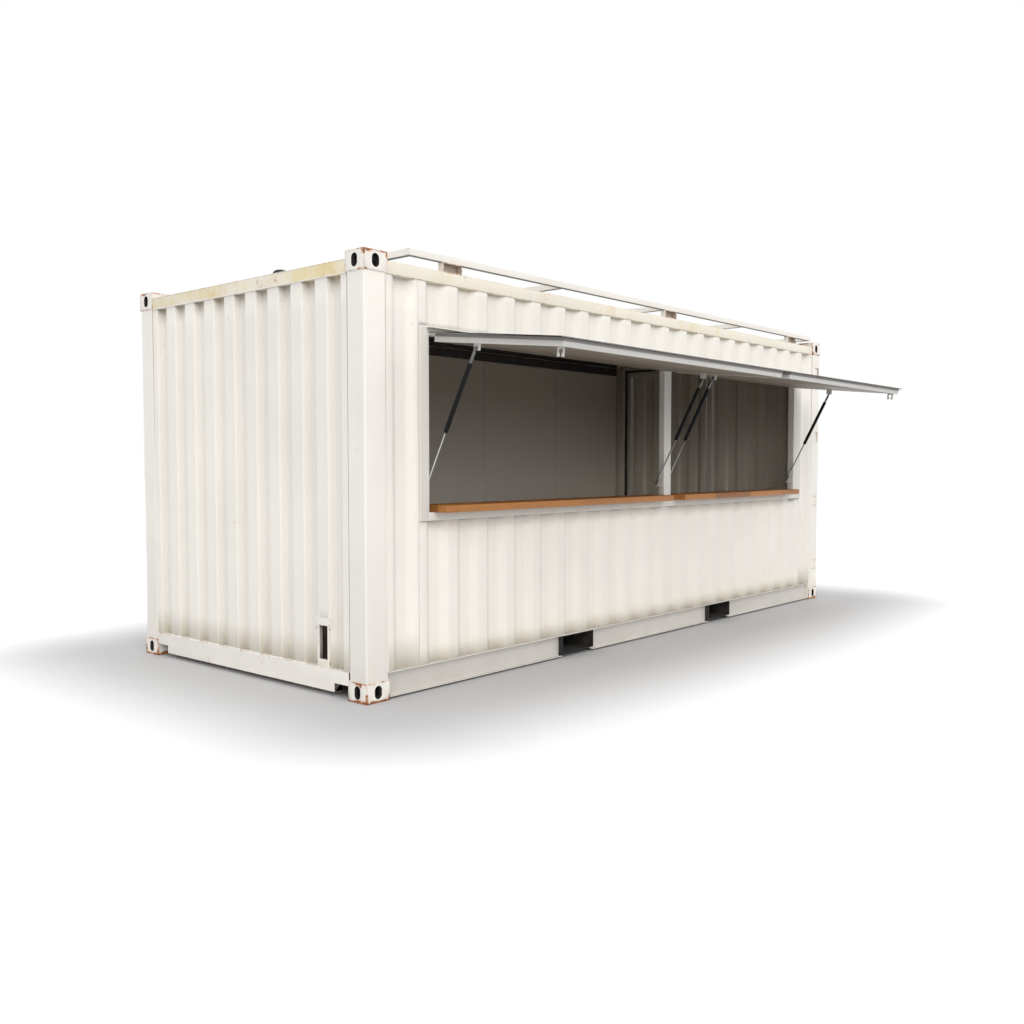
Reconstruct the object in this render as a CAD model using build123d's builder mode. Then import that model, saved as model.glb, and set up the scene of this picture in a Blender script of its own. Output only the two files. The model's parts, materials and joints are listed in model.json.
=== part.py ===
from build123d import *
from math import cos, radians, sin
import os

# A 20 ft freight container turned into a bar, in millimetres. The origin is on the ground at the centre of
# the footprint, +X runs from the blind end to the cargo doors, and the serving side faces -Y.

# Overall size
container_length = 6058
container_width = 2438
container_height = 2591
cut_overrun = 5

# Corner castings
casting_length = 178
casting_width = 162
casting_height = 118
casting_wall = 28
casting_slot_length = 124
casting_slot_width = 63.5
casting_hole_height = 78
casting_side_hole_width = 54
casting_end_hole_width = 51

# Corner posts and the steps back from the casting faces
frame_setback = 4
wall_setback = 8
post_wall = 6
post_radius = 14
post_length = 170
post_width = 154
door_post_length = 70
post_flange_thickness = 12

# Bottom rails, fork pockets and cross members
rail_top = 162
rail_base = 13
rail_plate = 4.5
rail_web_setback = 38
rail_flange_width = 75
rail_lip_width = 32
pocket_spacing = 2050
pocket_width = 360
pocket_height = 115
pocket_wall = 5
member_height = 122
member_width = 45
member_plate = 4
member_count = 5

# End sill, door sill and top rails
sill_depth = 60
sill_base = 31
sill_top = 164
sill_wall = 4
sill_notch_width = 130
sill_notch_height = 54
door_sill_top = 178
door_beam_depth = 65
door_header_height = 100
top_rail_depth = 60
top_rail_height = 75
top_rail_drop = 46
top_rail_wall = 4

# Corrugated sheets
sheet_thickness = 2
end_wave_count = 9
end_wave_depth = 45.6
end_flat_share = 0.44
end_slope_share = 0.072
side_wave_count = 21
side_wave_depth = 36
side_flat_share = 0.26
side_slope_share = 0.244
roof_wave_count = 27
roof_wave_depth = 20
roof_flat_share = 0.44
roof_slope_share = 0.065
roof_rail_lap = 8
roof_end_gap = 6
roof_plate_thickness = 4

# Floor
floor_thickness = 28
floor_side_gap = 54
floor_corner_gap = 6

# Hatch opening
service_wall_end_width = 255
service_wall_top_height = 265
frame_proud = 3
frame_depth = 60
frame_wall = 4
jamb_left_width = 75
jamb_right_width = 155
head_height = 55
hatch_sill_base = 1035
hatch_sill_height = 50
mullion_centre = 150
mullion_width = 100
mullion_depth = 50
rain_strip_reach = 32
rain_strip_thickness = 4
rain_strip_drop = 9
rain_strip_lap = 22

# Counter boards
counter_thickness = 45
counter_overhang = 120
counter_inner_reach = 60
counter_end_gap = 35
counter_right_short = 110

# Hatch flaps, hinged at the head
hatch_droop = 6
hinge_standout = 16
hinge_rise = 15
hinge_knuckle_radius = 11
hinge_pin_radius = 5
hinge_fit = 0.4
hinge_fixed_length = 60
hinge_moving_length = 40
hinge_end_gap = 1.5
hinge_place_shares = (0.08, 0.5, 0.92)
hinge_leaf_thickness = 6
hinge_leaf_height = 26
hatch_bottom_gap = 12
hatch_skin_thickness = 2
hatch_skin_drop = 2
hatch_skin_start = 16
hatch_skin_lap = 22
hatch_skin_gap = 3
hatch_lip = 20
hatch_frame_start = 22
hatch_frame_depth = 50
hatch_bar_width = 40
hatch_plate = 4
hatch_lining_thickness = 2
hatch_rib_shares = (0.34, 0.67)
latch_width = 50
latch_drop = 52
latch_thickness = 5
latch_slot_width = 14
latch_slot_height = 30
latch_edge_gap = 45
latch_inset = 45

# Gas struts, one at each end of each flap
strut_slot = 15
strut_offset = 20
strut_reach_share = 0.351906
strut_drop = 80
strut_foot_depth = 56
strut_foot_rise = 90
strut_eye_radius = 11
strut_eye_width = 12
strut_stud_radius = 4
strut_stud_fit = 0.4
strut_neck_radius = 7
strut_barrel_start = 95
strut_barrel_radius = 14
strut_closed_margin = 45
strut_bore_start = 130
strut_rod_radius = 6
strut_rod_fit = 0.5
strut_rod_overlap = 50
strut_plate_thickness = 6
strut_plate_width = 50
strut_plate_margin = 14
strut_plate_gap = 3
foot_plate_thickness = 4
foot_plate_width = 66
foot_plate_height = 60
foot_stud_gap = 1

# Cargo doors
door_recess = 94
door_thickness = 50
door_edge_gap = 15
door_centre_gap = 6
door_bottom_gap = 17
door_top_gap = 15
door_bar_width = 60
door_wave_count = 4
door_wave_depth = 30
door_pin_inset = 15
door_pin_radius = 9
door_pin_fit = 0.5
door_knuckle_radius = 14
door_blade_thickness = 10
door_blade_height = 90
door_blade_grip = 106
door_leg_thickness = 14
door_lug_thickness = 12
door_lug_gap = 3
door_lug_width = 26
door_hinge_shares = (0.07, 0.36, 0.65, 0.94)
lock_bar_radius = 15
lock_bar_gap = 10
lock_bar_reach = 40
lock_bar_shares = (0.28, 0.72)
lock_guide_width = 70
lock_guide_height = 40
lock_guide_shares = (0.06, 0.35, 0.65, 0.94)
lock_handle_length = 330
lock_handle_height = 40
lock_handle_thickness = 10
lock_handle_share = 0.4
keeper_thickness = 12
keeper_width = 80
keeper_height = 44

# Vent on the blind end
vent_wave_number = 1
vent_plate_thickness = 3
vent_plate_lap = 8
vent_plate_height = 300
vent_slot_width = 76
vent_slot_base = 51
vent_slot_height = 209
vent_hood_reach = 4
vent_hood_height = 36
vent_hood_width = 150

# Tube frame and vent on the roof
roof_tube = 40
roof_tube_wall = 3
roof_frame_blind_gap = 181
roof_frame_door_gap = 21
roof_frame_depth = 840
roof_bar_shares = (0.27, 0.51, 0.75)
bracket_shares = (0.0655, 0.5218, 0.9218)
bracket_width = 165
bracket_height = 60
bracket_wall = 6
bracket_depth = 45
bracket_back = 3
foot_length = 230
foot_width = 60
roof_vent_inset = 145
roof_vent_base = 230
roof_vent_base_thickness = 3
roof_vent_pipe_radius = 34
roof_vent_pipe_height = 52
roof_vent_cap_radius = 52
roof_vent_cap_height = 40
roof_vent_round_share = 0.85

# Lines that several pieces share
half_length = container_length / 2
half_width = container_width / 2
roof_level = container_height - top_rail_drop
beam_level = roof_level - top_rail_height
post_inner_x = half_length - frame_setback - post_length
post_inner_y = half_width - frame_setback - post_width
casting_inner_x = half_length - casting_length
casting_inner_y = half_width - casting_width
web_outer = half_width - rail_web_setback
web_inner = web_outer - rail_plate
end_wall_face = -half_length + wall_setback
side_wall_face = half_width - wall_setback
end_beam_face = -half_length + frame_setback
end_beam_inner = end_beam_face + sill_depth
door_post_face = post_inner_x + door_post_length
door_beam_inner = door_post_face - door_beam_depth
pocket_centres = (-pocket_spacing / 2, pocket_spacing / 2)
pocket_half = pocket_width / 2 + pocket_wall
pocket_z = (rail_top - rail_plate - pocket_height - 2 * pocket_wall, rail_top - rail_plate)
floor_top = rail_top + floor_thickness
roof_crest = roof_level + roof_wave_depth + sheet_thickness
frame_face = -half_width - frame_proud
frame_outer_half = post_inner_x - service_wall_end_width
opening_x = (jamb_left_width - frame_outer_half, frame_outer_half - jamb_right_width)
frame_top = beam_level - service_wall_top_height
opening_top = frame_top - head_height
counter_base = hatch_sill_base + hatch_sill_height
counter_top = counter_base + counter_thickness
mullion_x = (mullion_centre - mullion_width / 2, mullion_centre + mullion_width / 2)
hinge_y = frame_face - hinge_standout
hinge_z = opening_top + hinge_rise
hatch_reach = hinge_z - counter_top - hatch_bottom_gap
strut_reach = hatch_reach * strut_reach_share
hatch_frame_top = hatch_skin_drop + hatch_skin_thickness
hatch_frame_base = hatch_frame_top + hatch_frame_depth
droop = radians(hatch_droop)
hatch_plane = Plane(origin=(0, hinge_y, hinge_z), x_dir=(1, 0, 0), z_dir=(0, sin(droop), -cos(droop)))
hatch_bays = {"left": (opening_x[0], mullion_x[0]), "right": (mullion_x[1], opening_x[1])}
strut_top = hatch_plane.from_local_coords(Vector(0, strut_reach, strut_drop))
strut_foot_y = -half_width + strut_foot_depth
strut_foot_height = counter_top + strut_foot_rise
strut_run = Vector(0, strut_foot_y - strut_top.Y, strut_foot_height - strut_top.Z)
strut_length = strut_run.length
strut_closed_run = Vector(0, strut_foot_y - hinge_y - strut_drop, strut_foot_height - hinge_z + strut_reach)
strut_barrel_end = strut_closed_run.length - strut_closed_margin
door_outer = half_length - door_recess
door_inner = door_outer - door_thickness
door_y = (door_centre_gap, post_inner_y - door_edge_gap)
door_z = (door_sill_top + door_bottom_gap, roof_level - door_header_height - door_top_gap)
blade_places = [door_z[0] + share * (door_z[1] - door_z[0]) for share in door_hinge_shares]
door_pin_x = half_length - door_pin_inset
door_pin_y = half_width - door_pin_inset
lock_bar_x = door_outer + lock_bar_gap + lock_bar_radius
end_wave_pitch = 2 * post_inner_y / end_wave_count
side_wave_pitch = 2 * post_inner_x / side_wave_count
roof_half_length = casting_inner_x - roof_end_gap
roof_wave_pitch = 2 * roof_half_length / roof_wave_count
roof_half_width = half_width - frame_setback - top_rail_depth + roof_rail_lap

os.makedirs("parts", exist_ok=True)


def keep(builder, name):
    """Label a finished piece and write its file."""
    builder.part.label = name
    export_step(builder.part, f"parts/{name}.step")


def span(first, second):
    """Two limits, the lower one first."""
    return (min(first, second), max(first, second))


def mid(limits):
    """The middle of two limits."""
    return (limits[0] + limits[1]) / 2


def inset(limits, wall):
    """Two limits, each moved inwards by a wall."""
    return (limits[0] + wall, limits[1] - wall)


def overrun(limits):
    """Two limits, each moved outwards for a clean cut."""
    return (limits[0] - cut_overrun, limits[1] + cut_overrun)


def at_share(limits, share):
    """The place at a share of the way between two limits."""
    return limits[0] + share * (limits[1] - limits[0])


def block(x, y, z, mode=Mode.ADD):
    """A box between two limits on each axis, in the current part."""
    with Locations((mid(x), mid(y), mid(z))):
        Box(x[1] - x[0], y[1] - y[0], z[1] - z[0], mode=mode)


def tube(x, y, z, wall, along):
    """A rectangular tube that is open at both ends along one axis."""
    limits = {"x": x, "y": y, "z": z}
    block(x, y, z)
    hollow = {axis: overrun(pair) if axis == along else inset(pair, wall) for axis, pair in limits.items()}
    block(hollow["x"], hollow["y"], hollow["z"], mode=Mode.SUBTRACT)


def wave_points(start, pitch, count, flat_share, slope_share):
    """Places along a corrugated sheet, each with 0 on an outer flat or 1 on an inner flat."""
    half_flat = pitch * flat_share / 2
    slope = pitch * slope_share
    points = [(start, 0)]
    for number in range(count):
        left = start + number * pitch
        right = left + pitch
        points += [(left + half_flat, 0), (left + half_flat + slope, 1)]
        points += [(right - half_flat - slope, 1), (right - half_flat, 0)]
    points.append((start + count * pitch, 0))
    return points


def sheet_outline(points, face, depth, thickness):
    """The closed outline of a corrugated sheet: its outer side out, its inner side back."""
    outer = [(place, face + level * depth) for place, level in points]
    inner = [(place, face + level * depth + thickness) for place, level in reversed(points)]
    return outer + inner


# Corner castings
def casting(side_x, side_y, z, slot_level):
    """A hollow corner casting with a slot in its outer flat and a hole in each outer side."""
    x = span(side_x * half_length, side_x * casting_inner_x)
    y = span(side_y * half_width, side_y * casting_inner_y)
    block(x, y, z)
    block(inset(x, casting_wall), inset(y, casting_wall), inset(z, casting_wall), mode=Mode.SUBTRACT)
    slot_plane = Plane(origin=(mid(x), mid(y), slot_level))
    side_plane = Plane(origin=(mid(x), side_y * half_width, mid(z)), x_dir=(0, 0, 1), z_dir=(0, 1, 0))
    end_plane = Plane(origin=(side_x * half_length, mid(y), mid(z)), x_dir=(0, 0, 1), z_dir=(1, 0, 0))
    holes = (
        (slot_plane, casting_slot_length, casting_slot_width),
        (side_plane, casting_hole_height, casting_side_hole_width),
        (end_plane, casting_hole_height, casting_end_hole_width),
    )
    for plane, length, width in holes:
        with BuildSketch(plane) as hole:
            SlotOverall(length, width)
        extrude(hole.sketch, amount=casting_wall + cut_overrun, both=True, mode=Mode.SUBTRACT)


corners = [(side_x, side_y) for side_x in (-1, 1) for side_y in (-1, 1)]

with BuildPart() as bottom_corner_castings:
    for side_x, side_y in corners:
        casting(side_x, side_y, (0, casting_height), 0)
keep(bottom_corner_castings, "bottom_corner_castings")

with BuildPart() as top_corner_castings:
    for side_x, side_y in corners:
        casting(side_x, side_y, (container_height - casting_height, container_height), container_height)
keep(top_corner_castings, "top_corner_castings")

# Corner posts
post_z = (casting_height, container_height - casting_height)
post_y = (post_inner_y, half_width - frame_setback)


def post(x, side_y):
    """A folded hollow post with rounded edges."""
    y = span(side_y * post_y[0], side_y * post_y[1])
    with BuildSketch(Plane.XY.offset(post_z[0])) as section:
        with Locations((mid(x), mid(y))):
            RectangleRounded(x[1] - x[0], y[1] - y[0], post_radius)
            RectangleRounded(x[1] - x[0] - 2 * post_wall, y[1] - y[0] - 2 * post_wall, post_radius - post_wall,
                             mode=Mode.SUBTRACT)
    extrude(section.sketch, amount=post_z[1] - post_z[0])


with BuildPart() as blind_end_posts:
    for side_y in (-1, 1):
        post((end_beam_face, -post_inner_x), side_y)
keep(blind_end_posts, "blind_end_posts")

with BuildPart() as door_end_posts:
    for side_y in (-1, 1):
        post((post_inner_x, door_post_face), side_y)
        flange_x = (door_post_face - post_radius, half_length - frame_setback)
        flange_y = span(side_y * (post_y[1] - post_flange_thickness), side_y * post_y[1])
        block(flange_x, flange_y, post_z)
        for place in blade_places:
            notch_half = door_blade_height / 2 + door_lug_gap + door_lug_thickness
            notch_z = (place - notch_half, place + notch_half)
            block((door_post_face, half_length), overrun(flange_y), notch_z, mode=Mode.SUBTRACT)
keep(door_end_posts, "door_end_posts")

# Bottom rails with the mouths of the fork pockets
rail_x = (-casting_inner_x, casting_inner_x)


def bottom_rail(side_y):
    """A rail with an inner web, a flange under wall and floor, and an outer lip at the bottom."""
    flange_outer = half_width - frame_setback
    flange_y = span(side_y * flange_outer, side_y * (flange_outer - rail_flange_width))
    web_y = span(side_y * web_outer, side_y * web_inner)
    lip_y = span(side_y * web_outer, side_y * (web_outer + rail_lip_width))
    block(rail_x, flange_y, (rail_top - rail_plate, rail_top))
    block(rail_x, web_y, (rail_base, rail_top - rail_plate))
    block(rail_x, lip_y, (rail_base, rail_base + rail_plate))
    for centre in pocket_centres:
        mouth_y = overrun(span(side_y * web_inner, side_y * (web_outer + rail_lip_width)))
        mouth_z = (rail_base - cut_overrun, pocket_z[1])
        block((centre - pocket_half, centre + pocket_half), mouth_y, mouth_z, mode=Mode.SUBTRACT)


with BuildPart() as service_bottom_rail:
    bottom_rail(-1)
keep(service_bottom_rail, "service_bottom_rail")

with BuildPart() as back_bottom_rail:
    bottom_rail(1)
keep(back_bottom_rail, "back_bottom_rail")

# Fork pockets from side to side
with BuildPart() as fork_pockets:
    pocket_reach = half_width - frame_setback
    for centre in pocket_centres:
        pocket_x = (centre - pocket_half, centre + pocket_half)
        tube(pocket_x, (-pocket_reach, pocket_reach), pocket_z, pocket_wall, "y")
keep(fork_pockets, "fork_pockets")

# Cross members under the floor, in the three stretches beside and between the pockets
member_z = (rail_top - member_height, rail_top)
member_stretches = {
    "blind_end": (-casting_inner_x, pocket_centres[0] - pocket_half),
    "middle": (pocket_centres[0] + pocket_half, pocket_centres[1] - pocket_half),
    "door_end": (pocket_centres[1] + pocket_half, door_beam_inner),
}


def cross_member(place):
    """A channel from rail to rail, open towards +X, under the rails' flanges."""
    y = (-web_inner, web_inner)
    flange_y = web_inner - (rail_flange_width - (half_width - frame_setback - web_inner))
    top = member_z[1]
    x = (place - member_width / 2, place + member_width / 2)
    block((x[0], x[0] + member_plate), y, (member_z[0], top - rail_plate))
    block((x[0], x[0] + member_plate), (-flange_y, flange_y), (top - rail_plate, top))
    block(x, (-flange_y, flange_y), (top - member_plate, top))
    block(x, y, (member_z[0], member_z[0] + member_plate))


for stretch, limits in member_stretches.items():
    with BuildPart() as members:
        for number in range(member_count):
            cross_member(at_share(limits, (number + 0.5) / member_count))
    keep(members, f"cross_members_{stretch}")

# Sills at both ends
end_y = (-casting_inner_y, casting_inner_y)

with BuildPart() as end_sill:
    tube((end_beam_face, end_beam_inner), end_y, (sill_base, sill_top), sill_wall, "y")
    for side_y in (-1, 1):
        notch_y = span(side_y * (casting_inner_y - sill_notch_width), side_y * casting_inner_y)
        notch_x = (end_beam_face, end_beam_inner - sill_wall)
        block(overrun(notch_x), notch_y, (sill_base, sill_base + sill_notch_height), mode=Mode.SUBTRACT)
keep(end_sill, "end_sill")


def keepers(z):
    """The cam keepers on the door end's beam, one for each lock bar."""
    for side_y in (-1, 1):
        for share in lock_bar_shares:
            place = side_y * at_share(door_y, share)
            block((door_post_face, door_post_face + keeper_thickness),
                  (place - keeper_width / 2, place + keeper_width / 2), z)


with BuildPart() as door_sill:
    tube((door_beam_inner, door_post_face), end_y, (sill_base, door_sill_top), sill_wall, "y")
    keepers((door_sill_top - sill_wall - keeper_height, door_sill_top - sill_wall))
keep(door_sill, "door_sill")

# Top rails
side_rail_y = (half_width - frame_setback - top_rail_depth, half_width - frame_setback)
top_rail_z = (beam_level, roof_level)

with BuildPart() as service_top_rail:
    tube(rail_x, (-side_rail_y[1], -side_rail_y[0]), top_rail_z, top_rail_wall, "x")
keep(service_top_rail, "service_top_rail")

with BuildPart() as back_top_rail:
    tube(rail_x, side_rail_y, top_rail_z, top_rail_wall, "x")
keep(back_top_rail, "back_top_rail")

with BuildPart() as end_top_rail:
    tube((end_beam_face, end_beam_face + top_rail_depth), end_y, top_rail_z, top_rail_wall, "y")
keep(end_top_rail, "end_top_rail")

with BuildPart() as door_header:
    header_z = (roof_level - door_header_height, roof_level)
    tube((door_beam_inner, door_post_face), end_y, header_z, top_rail_wall, "y")
    keepers((header_z[0] + top_rail_wall, header_z[0] + top_rail_wall + keeper_height))
keep(door_header, "door_header")

# End wall with its vent
end_points = wave_points(-post_inner_y, end_wave_pitch, end_wave_count, end_flat_share, end_slope_share)
vent_y = -post_inner_y + vent_wave_number * end_wave_pitch
vent_slot_y = (vent_y - vent_slot_width / 2, vent_y + vent_slot_width / 2)
vent_slot_z = (sill_top + vent_slot_base, sill_top + vent_slot_base + vent_slot_height)

with BuildPart() as end_wall:
    with BuildSketch(Plane.XY.offset(sill_top)):
        with BuildLine():
            outline = sheet_outline(end_points, end_wall_face, end_wave_depth, sheet_thickness)
            Polyline(*[(depth, place) for place, depth in outline], close=True)
        make_face()
    extrude(amount=beam_level - sill_top)
    wall_x = overrun((end_wall_face, end_wall_face + end_wave_depth))
    block(wall_x, vent_slot_y, vent_slot_z, mode=Mode.SUBTRACT)
keep(end_wall, "end_wall")

with BuildPart() as vent_plate:
    plate_x = (end_wall_face - vent_plate_thickness, end_wall_face)
    plate_half = end_wave_pitch * end_flat_share / 2 + vent_plate_lap
    plate_z = (sill_top, sill_top + vent_plate_height)
    block(plate_x, (vent_y - plate_half, vent_y + plate_half), plate_z)
    block(overrun(plate_x), vent_slot_y, vent_slot_z, mode=Mode.SUBTRACT)
    hood_x = (plate_x[0] - vent_hood_reach, plate_x[0])
    hood_y = (vent_y - vent_hood_width / 2, vent_y + vent_hood_width / 2)
    block(hood_x, hood_y, (plate_z[1] - vent_hood_height, plate_z[1]))
keep(vent_plate, "vent_plate")

# Side walls
side_points = wave_points(-post_inner_x, side_wave_pitch, side_wave_count, side_flat_share, side_slope_share)


def side_wall(side_y):
    """A whole corrugated side wall between the posts."""
    with BuildSketch(Plane.XY.offset(rail_top)) as section:
        with BuildLine():
            face = side_y * side_wall_face
            Polyline(*sheet_outline(side_points, face, -side_y * side_wave_depth, -side_y * sheet_thickness),
                     close=True)
        make_face()
    extrude(section.sketch, amount=beam_level - rail_top)


with BuildPart() as back_wall:
    side_wall(1)
keep(back_wall, "back_wall")

wall_y = (-half_width, -half_width + 2 * side_wave_depth)
wall_z = (rail_top, beam_level)
frame_x = (-frame_outer_half, frame_outer_half)

with BuildPart() as service_wall_ends:
    side_wall(-1)
    block(frame_x, wall_y, overrun(wall_z), mode=Mode.SUBTRACT)
keep(service_wall_ends, "service_wall_ends")

with BuildPart() as service_wall_below:
    side_wall(-1)
    block(frame_x, wall_y, (rail_top, hatch_sill_base), mode=Mode.INTERSECT)
keep(service_wall_below, "service_wall_below")

with BuildPart() as service_wall_above:
    side_wall(-1)
    block(frame_x, wall_y, (frame_top, beam_level), mode=Mode.INTERSECT)
keep(service_wall_above, "service_wall_above")

# Roof and floor
with BuildPart() as roof_panel:
    with BuildSketch(Plane.XZ):
        with BuildLine():
            roof_points = wave_points(-roof_half_length, roof_wave_pitch, roof_wave_count, roof_flat_share,
                                      roof_slope_share)
            Polyline(*sheet_outline(roof_points, roof_level, roof_wave_depth, sheet_thickness), close=True)
        make_face()
    extrude(amount=roof_half_width, both=True)
keep(roof_panel, "roof_panel")

with BuildPart() as roof_end_plates:
    plate_y = (-casting_inner_y, casting_inner_y)
    plate_z = (roof_level, roof_level + roof_plate_thickness)
    block((end_beam_face, -roof_half_length), plate_y, plate_z)
    block((roof_half_length, door_post_face), plate_y, plate_z)
keep(roof_end_plates, "roof_end_plates")

with BuildPart() as floor:
    floor_half = half_width - floor_side_gap
    floor_x = (end_beam_inner, door_beam_inner)
    block(floor_x, (-floor_half, floor_half), (rail_top, floor_top))
    for side_x, side_y in corners:
        corner_x = span(side_x * (post_inner_x - floor_corner_gap), side_x * half_length)
        corner_y = span(side_y * (post_inner_y - floor_corner_gap), side_y * half_width)
        block(corner_x, corner_y, overrun((rail_top, floor_top)), mode=Mode.SUBTRACT)
keep(floor, "floor")

# Frame of the hatch opening
frame_y = (frame_face, frame_face + frame_depth)
jambs_x = ((-frame_outer_half, opening_x[0]), (opening_x[1], frame_outer_half))

with BuildPart() as hatch_jambs:
    for jamb_x in jambs_x:
        tube(jamb_x, frame_y, (hatch_sill_base, frame_top), frame_wall, "z")
keep(hatch_jambs, "hatch_jambs")

with BuildPart() as hatch_head:
    tube(opening_x, frame_y, (opening_top, frame_top), frame_wall, "x")
    strip_top = frame_top - rain_strip_drop
    strip_x = inset(opening_x, -rain_strip_lap)
    block(strip_x, (frame_face - rain_strip_reach, frame_face), (strip_top - rain_strip_thickness, strip_top))
keep(hatch_head, "hatch_head")

with BuildPart() as hatch_sill:
    tube(opening_x, frame_y, (hatch_sill_base, counter_base), frame_wall, "x")
keep(hatch_sill, "hatch_sill")

with BuildPart() as hatch_mullion:
    tube(mullion_x, (frame_face, frame_face + mullion_depth), (counter_base, opening_top), frame_wall, "z")
keep(hatch_mullion, "hatch_mullion")

# Counter boards, one in each bay
counter_y = (-half_width - counter_overhang, frame_y[1] + counter_inner_reach)
counter_z = (counter_base, counter_top)

with BuildPart() as counter_left:
    block((opening_x[0] + counter_end_gap, mullion_x[0] - counter_end_gap), counter_y, counter_z)
keep(counter_left, "counter_left")

with BuildPart() as counter_right:
    block((mullion_x[1] + counter_end_gap, opening_x[1] - counter_right_short), counter_y, counter_z)
keep(counter_right, "counter_right")


# Hatch hinges: fixed knuckles with pins on the head, moving knuckles on the flaps
def flap_x(side):
    """The limits of a flap's welded frame, clear of the opening at both ends."""
    return inset(hatch_bays[side], strut_slot)


def hinge_places(side):
    """The middles of a flap's hinges."""
    return [at_share(flap_x(side), share) for share in hinge_place_shares]


def rod_along_x(x, y, z, radius, mode=Mode.ADD):
    """A round bar along X between two limits."""
    with Locations((mid(x), y, z)):
        Cylinder(radius, x[1] - x[0], rotation=(0, 90, 0), mode=mode)


with BuildPart() as hatch_hinges:
    for side in hatch_bays:
        for place in hinge_places(side):
            half_fixed = hinge_fixed_length / 2
            half_pin = half_fixed + hinge_end_gap + hinge_moving_length
            fixed_x = (place - half_fixed, place + half_fixed)
            rod_along_x(fixed_x, hinge_y, hinge_z, hinge_knuckle_radius)
            rod_along_x((place - half_pin, place + half_pin), hinge_y, hinge_z, hinge_pin_radius)
            block(fixed_x, (hinge_y, frame_face), (hinge_z, hinge_z + hinge_knuckle_radius))
            leaf_y = (frame_face - hinge_leaf_thickness, frame_face)
            block(fixed_x, leaf_y, (hinge_z, hinge_z + hinge_leaf_height))
keep(hatch_hinges, "hatch_hinges")


# Hatch flaps, drawn in the plane of the open flap: local Y runs out from the hinge, local Z down from it
def flap_frame(side):
    """A welded frame with a lining under it, hinge knuckles, strut plates and a latch tab."""
    x = flap_x(side)
    y = (hatch_frame_start, hatch_reach - hatch_lip)
    z = (hatch_frame_top, hatch_frame_base)
    tube(x, y, z, hatch_plate, "z")
    tube(inset(x, hatch_bar_width), inset(y, hatch_bar_width), z, hatch_plate, "z")
    for share in hatch_rib_shares:
        place = at_share(x, share)
        block((place - hatch_plate / 2, place + hatch_plate / 2), inset(y, hatch_plate), z)
    block(x, y, (z[1] - hatch_lining_thickness, z[1]))
    for place in hinge_places(side):
        for end in (-1, 1):
            start = hinge_fixed_length / 2 + hinge_end_gap
            knuckle_x = span(place + end * start, place + end * (start + hinge_moving_length))
            rod_along_x(knuckle_x, 0, 0, hinge_knuckle_radius)
            tab_z = (hatch_frame_top, hatch_frame_top + hinge_leaf_thickness)
            block(knuckle_x, (0, hatch_frame_start), tab_z)
            rod_along_x(overrun(knuckle_x), 0, 0, hinge_pin_radius + hinge_fit, mode=Mode.SUBTRACT)
    plate_y = (strut_reach - strut_plate_width / 2, strut_reach + strut_plate_width / 2)
    plate_z = (hatch_frame_base, strut_drop + strut_plate_margin)
    for face, inwards in zip(hatch_bays[side], (1, -1)):
        plate_face = face + inwards * (strut_offset + strut_eye_width / 2 + strut_plate_gap)
        plate_back = plate_face + inwards * strut_plate_thickness
        block(span(plate_face, plate_back), plate_y, plate_z)
        stud_end = face + inwards * (strut_offset - strut_eye_width / 2)
        rod_along_x(span(stud_end, plate_back), strut_reach, strut_drop, strut_stud_radius)
    outer_edge, inwards = (x[0], 1) if side == "left" else (x[1], -1)
    latch_face = outer_edge + inwards * latch_inset
    latch_x = span(latch_face, latch_face + inwards * latch_thickness)
    latch_y = (hatch_reach - latch_edge_gap - latch_width, hatch_reach - latch_edge_gap)
    latch_z = (hatch_frame_base, hatch_frame_base + latch_drop)
    block(latch_x, latch_y, latch_z)
    slot_y = (mid(latch_y) - latch_slot_width / 2, mid(latch_y) + latch_slot_width / 2)
    slot_z = (latch_z[1] - latch_slot_height, latch_z[1] + cut_overrun)
    block(overrun(latch_x), slot_y, slot_z, mode=Mode.SUBTRACT)
    rod_along_x(overrun(latch_x), mid(latch_y), slot_z[0], latch_slot_width, mode=Mode.SUBTRACT)


skin_x = {
    "left": (opening_x[0] - hatch_skin_lap, mullion_centre - hatch_skin_gap),
    "right": (mullion_centre + hatch_skin_gap, opening_x[1] + hatch_skin_lap),
}

for side in hatch_bays:
    with BuildPart(hatch_plane) as flap:
        flap_frame(side)
    keep(flap, f"{side}_hatch_frame")
    with BuildPart(hatch_plane) as skin:
        block(skin_x[side], (hatch_skin_start, hatch_reach), (hatch_skin_drop, hatch_frame_top))
    keep(skin, f"{side}_hatch_skin")

# Gas struts: the barrel hangs from the flap, and the rod slides in it
strut_plane = Plane(origin=strut_top, x_dir=(1, 0, 0), z_dir=strut_run)
strut_places = {}
for side, bay in hatch_bays.items():
    strut_places[f"{side}_hatch_left_strut"] = bay[0] + strut_offset
    strut_places[f"{side}_hatch_right_strut"] = bay[1] - strut_offset


def rod_along_z(x, z, radius, mode=Mode.ADD):
    """A round bar along the strut between two limits."""
    with Locations((x, 0, mid(z))):
        Cylinder(radius, z[1] - z[0], mode=mode)


def strut_eye(place, level):
    """A flat eye round a stud."""
    eye_x = (place - strut_eye_width / 2, place + strut_eye_width / 2)
    rod_along_x(eye_x, 0, level, strut_eye_radius)
    return eye_x


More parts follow.
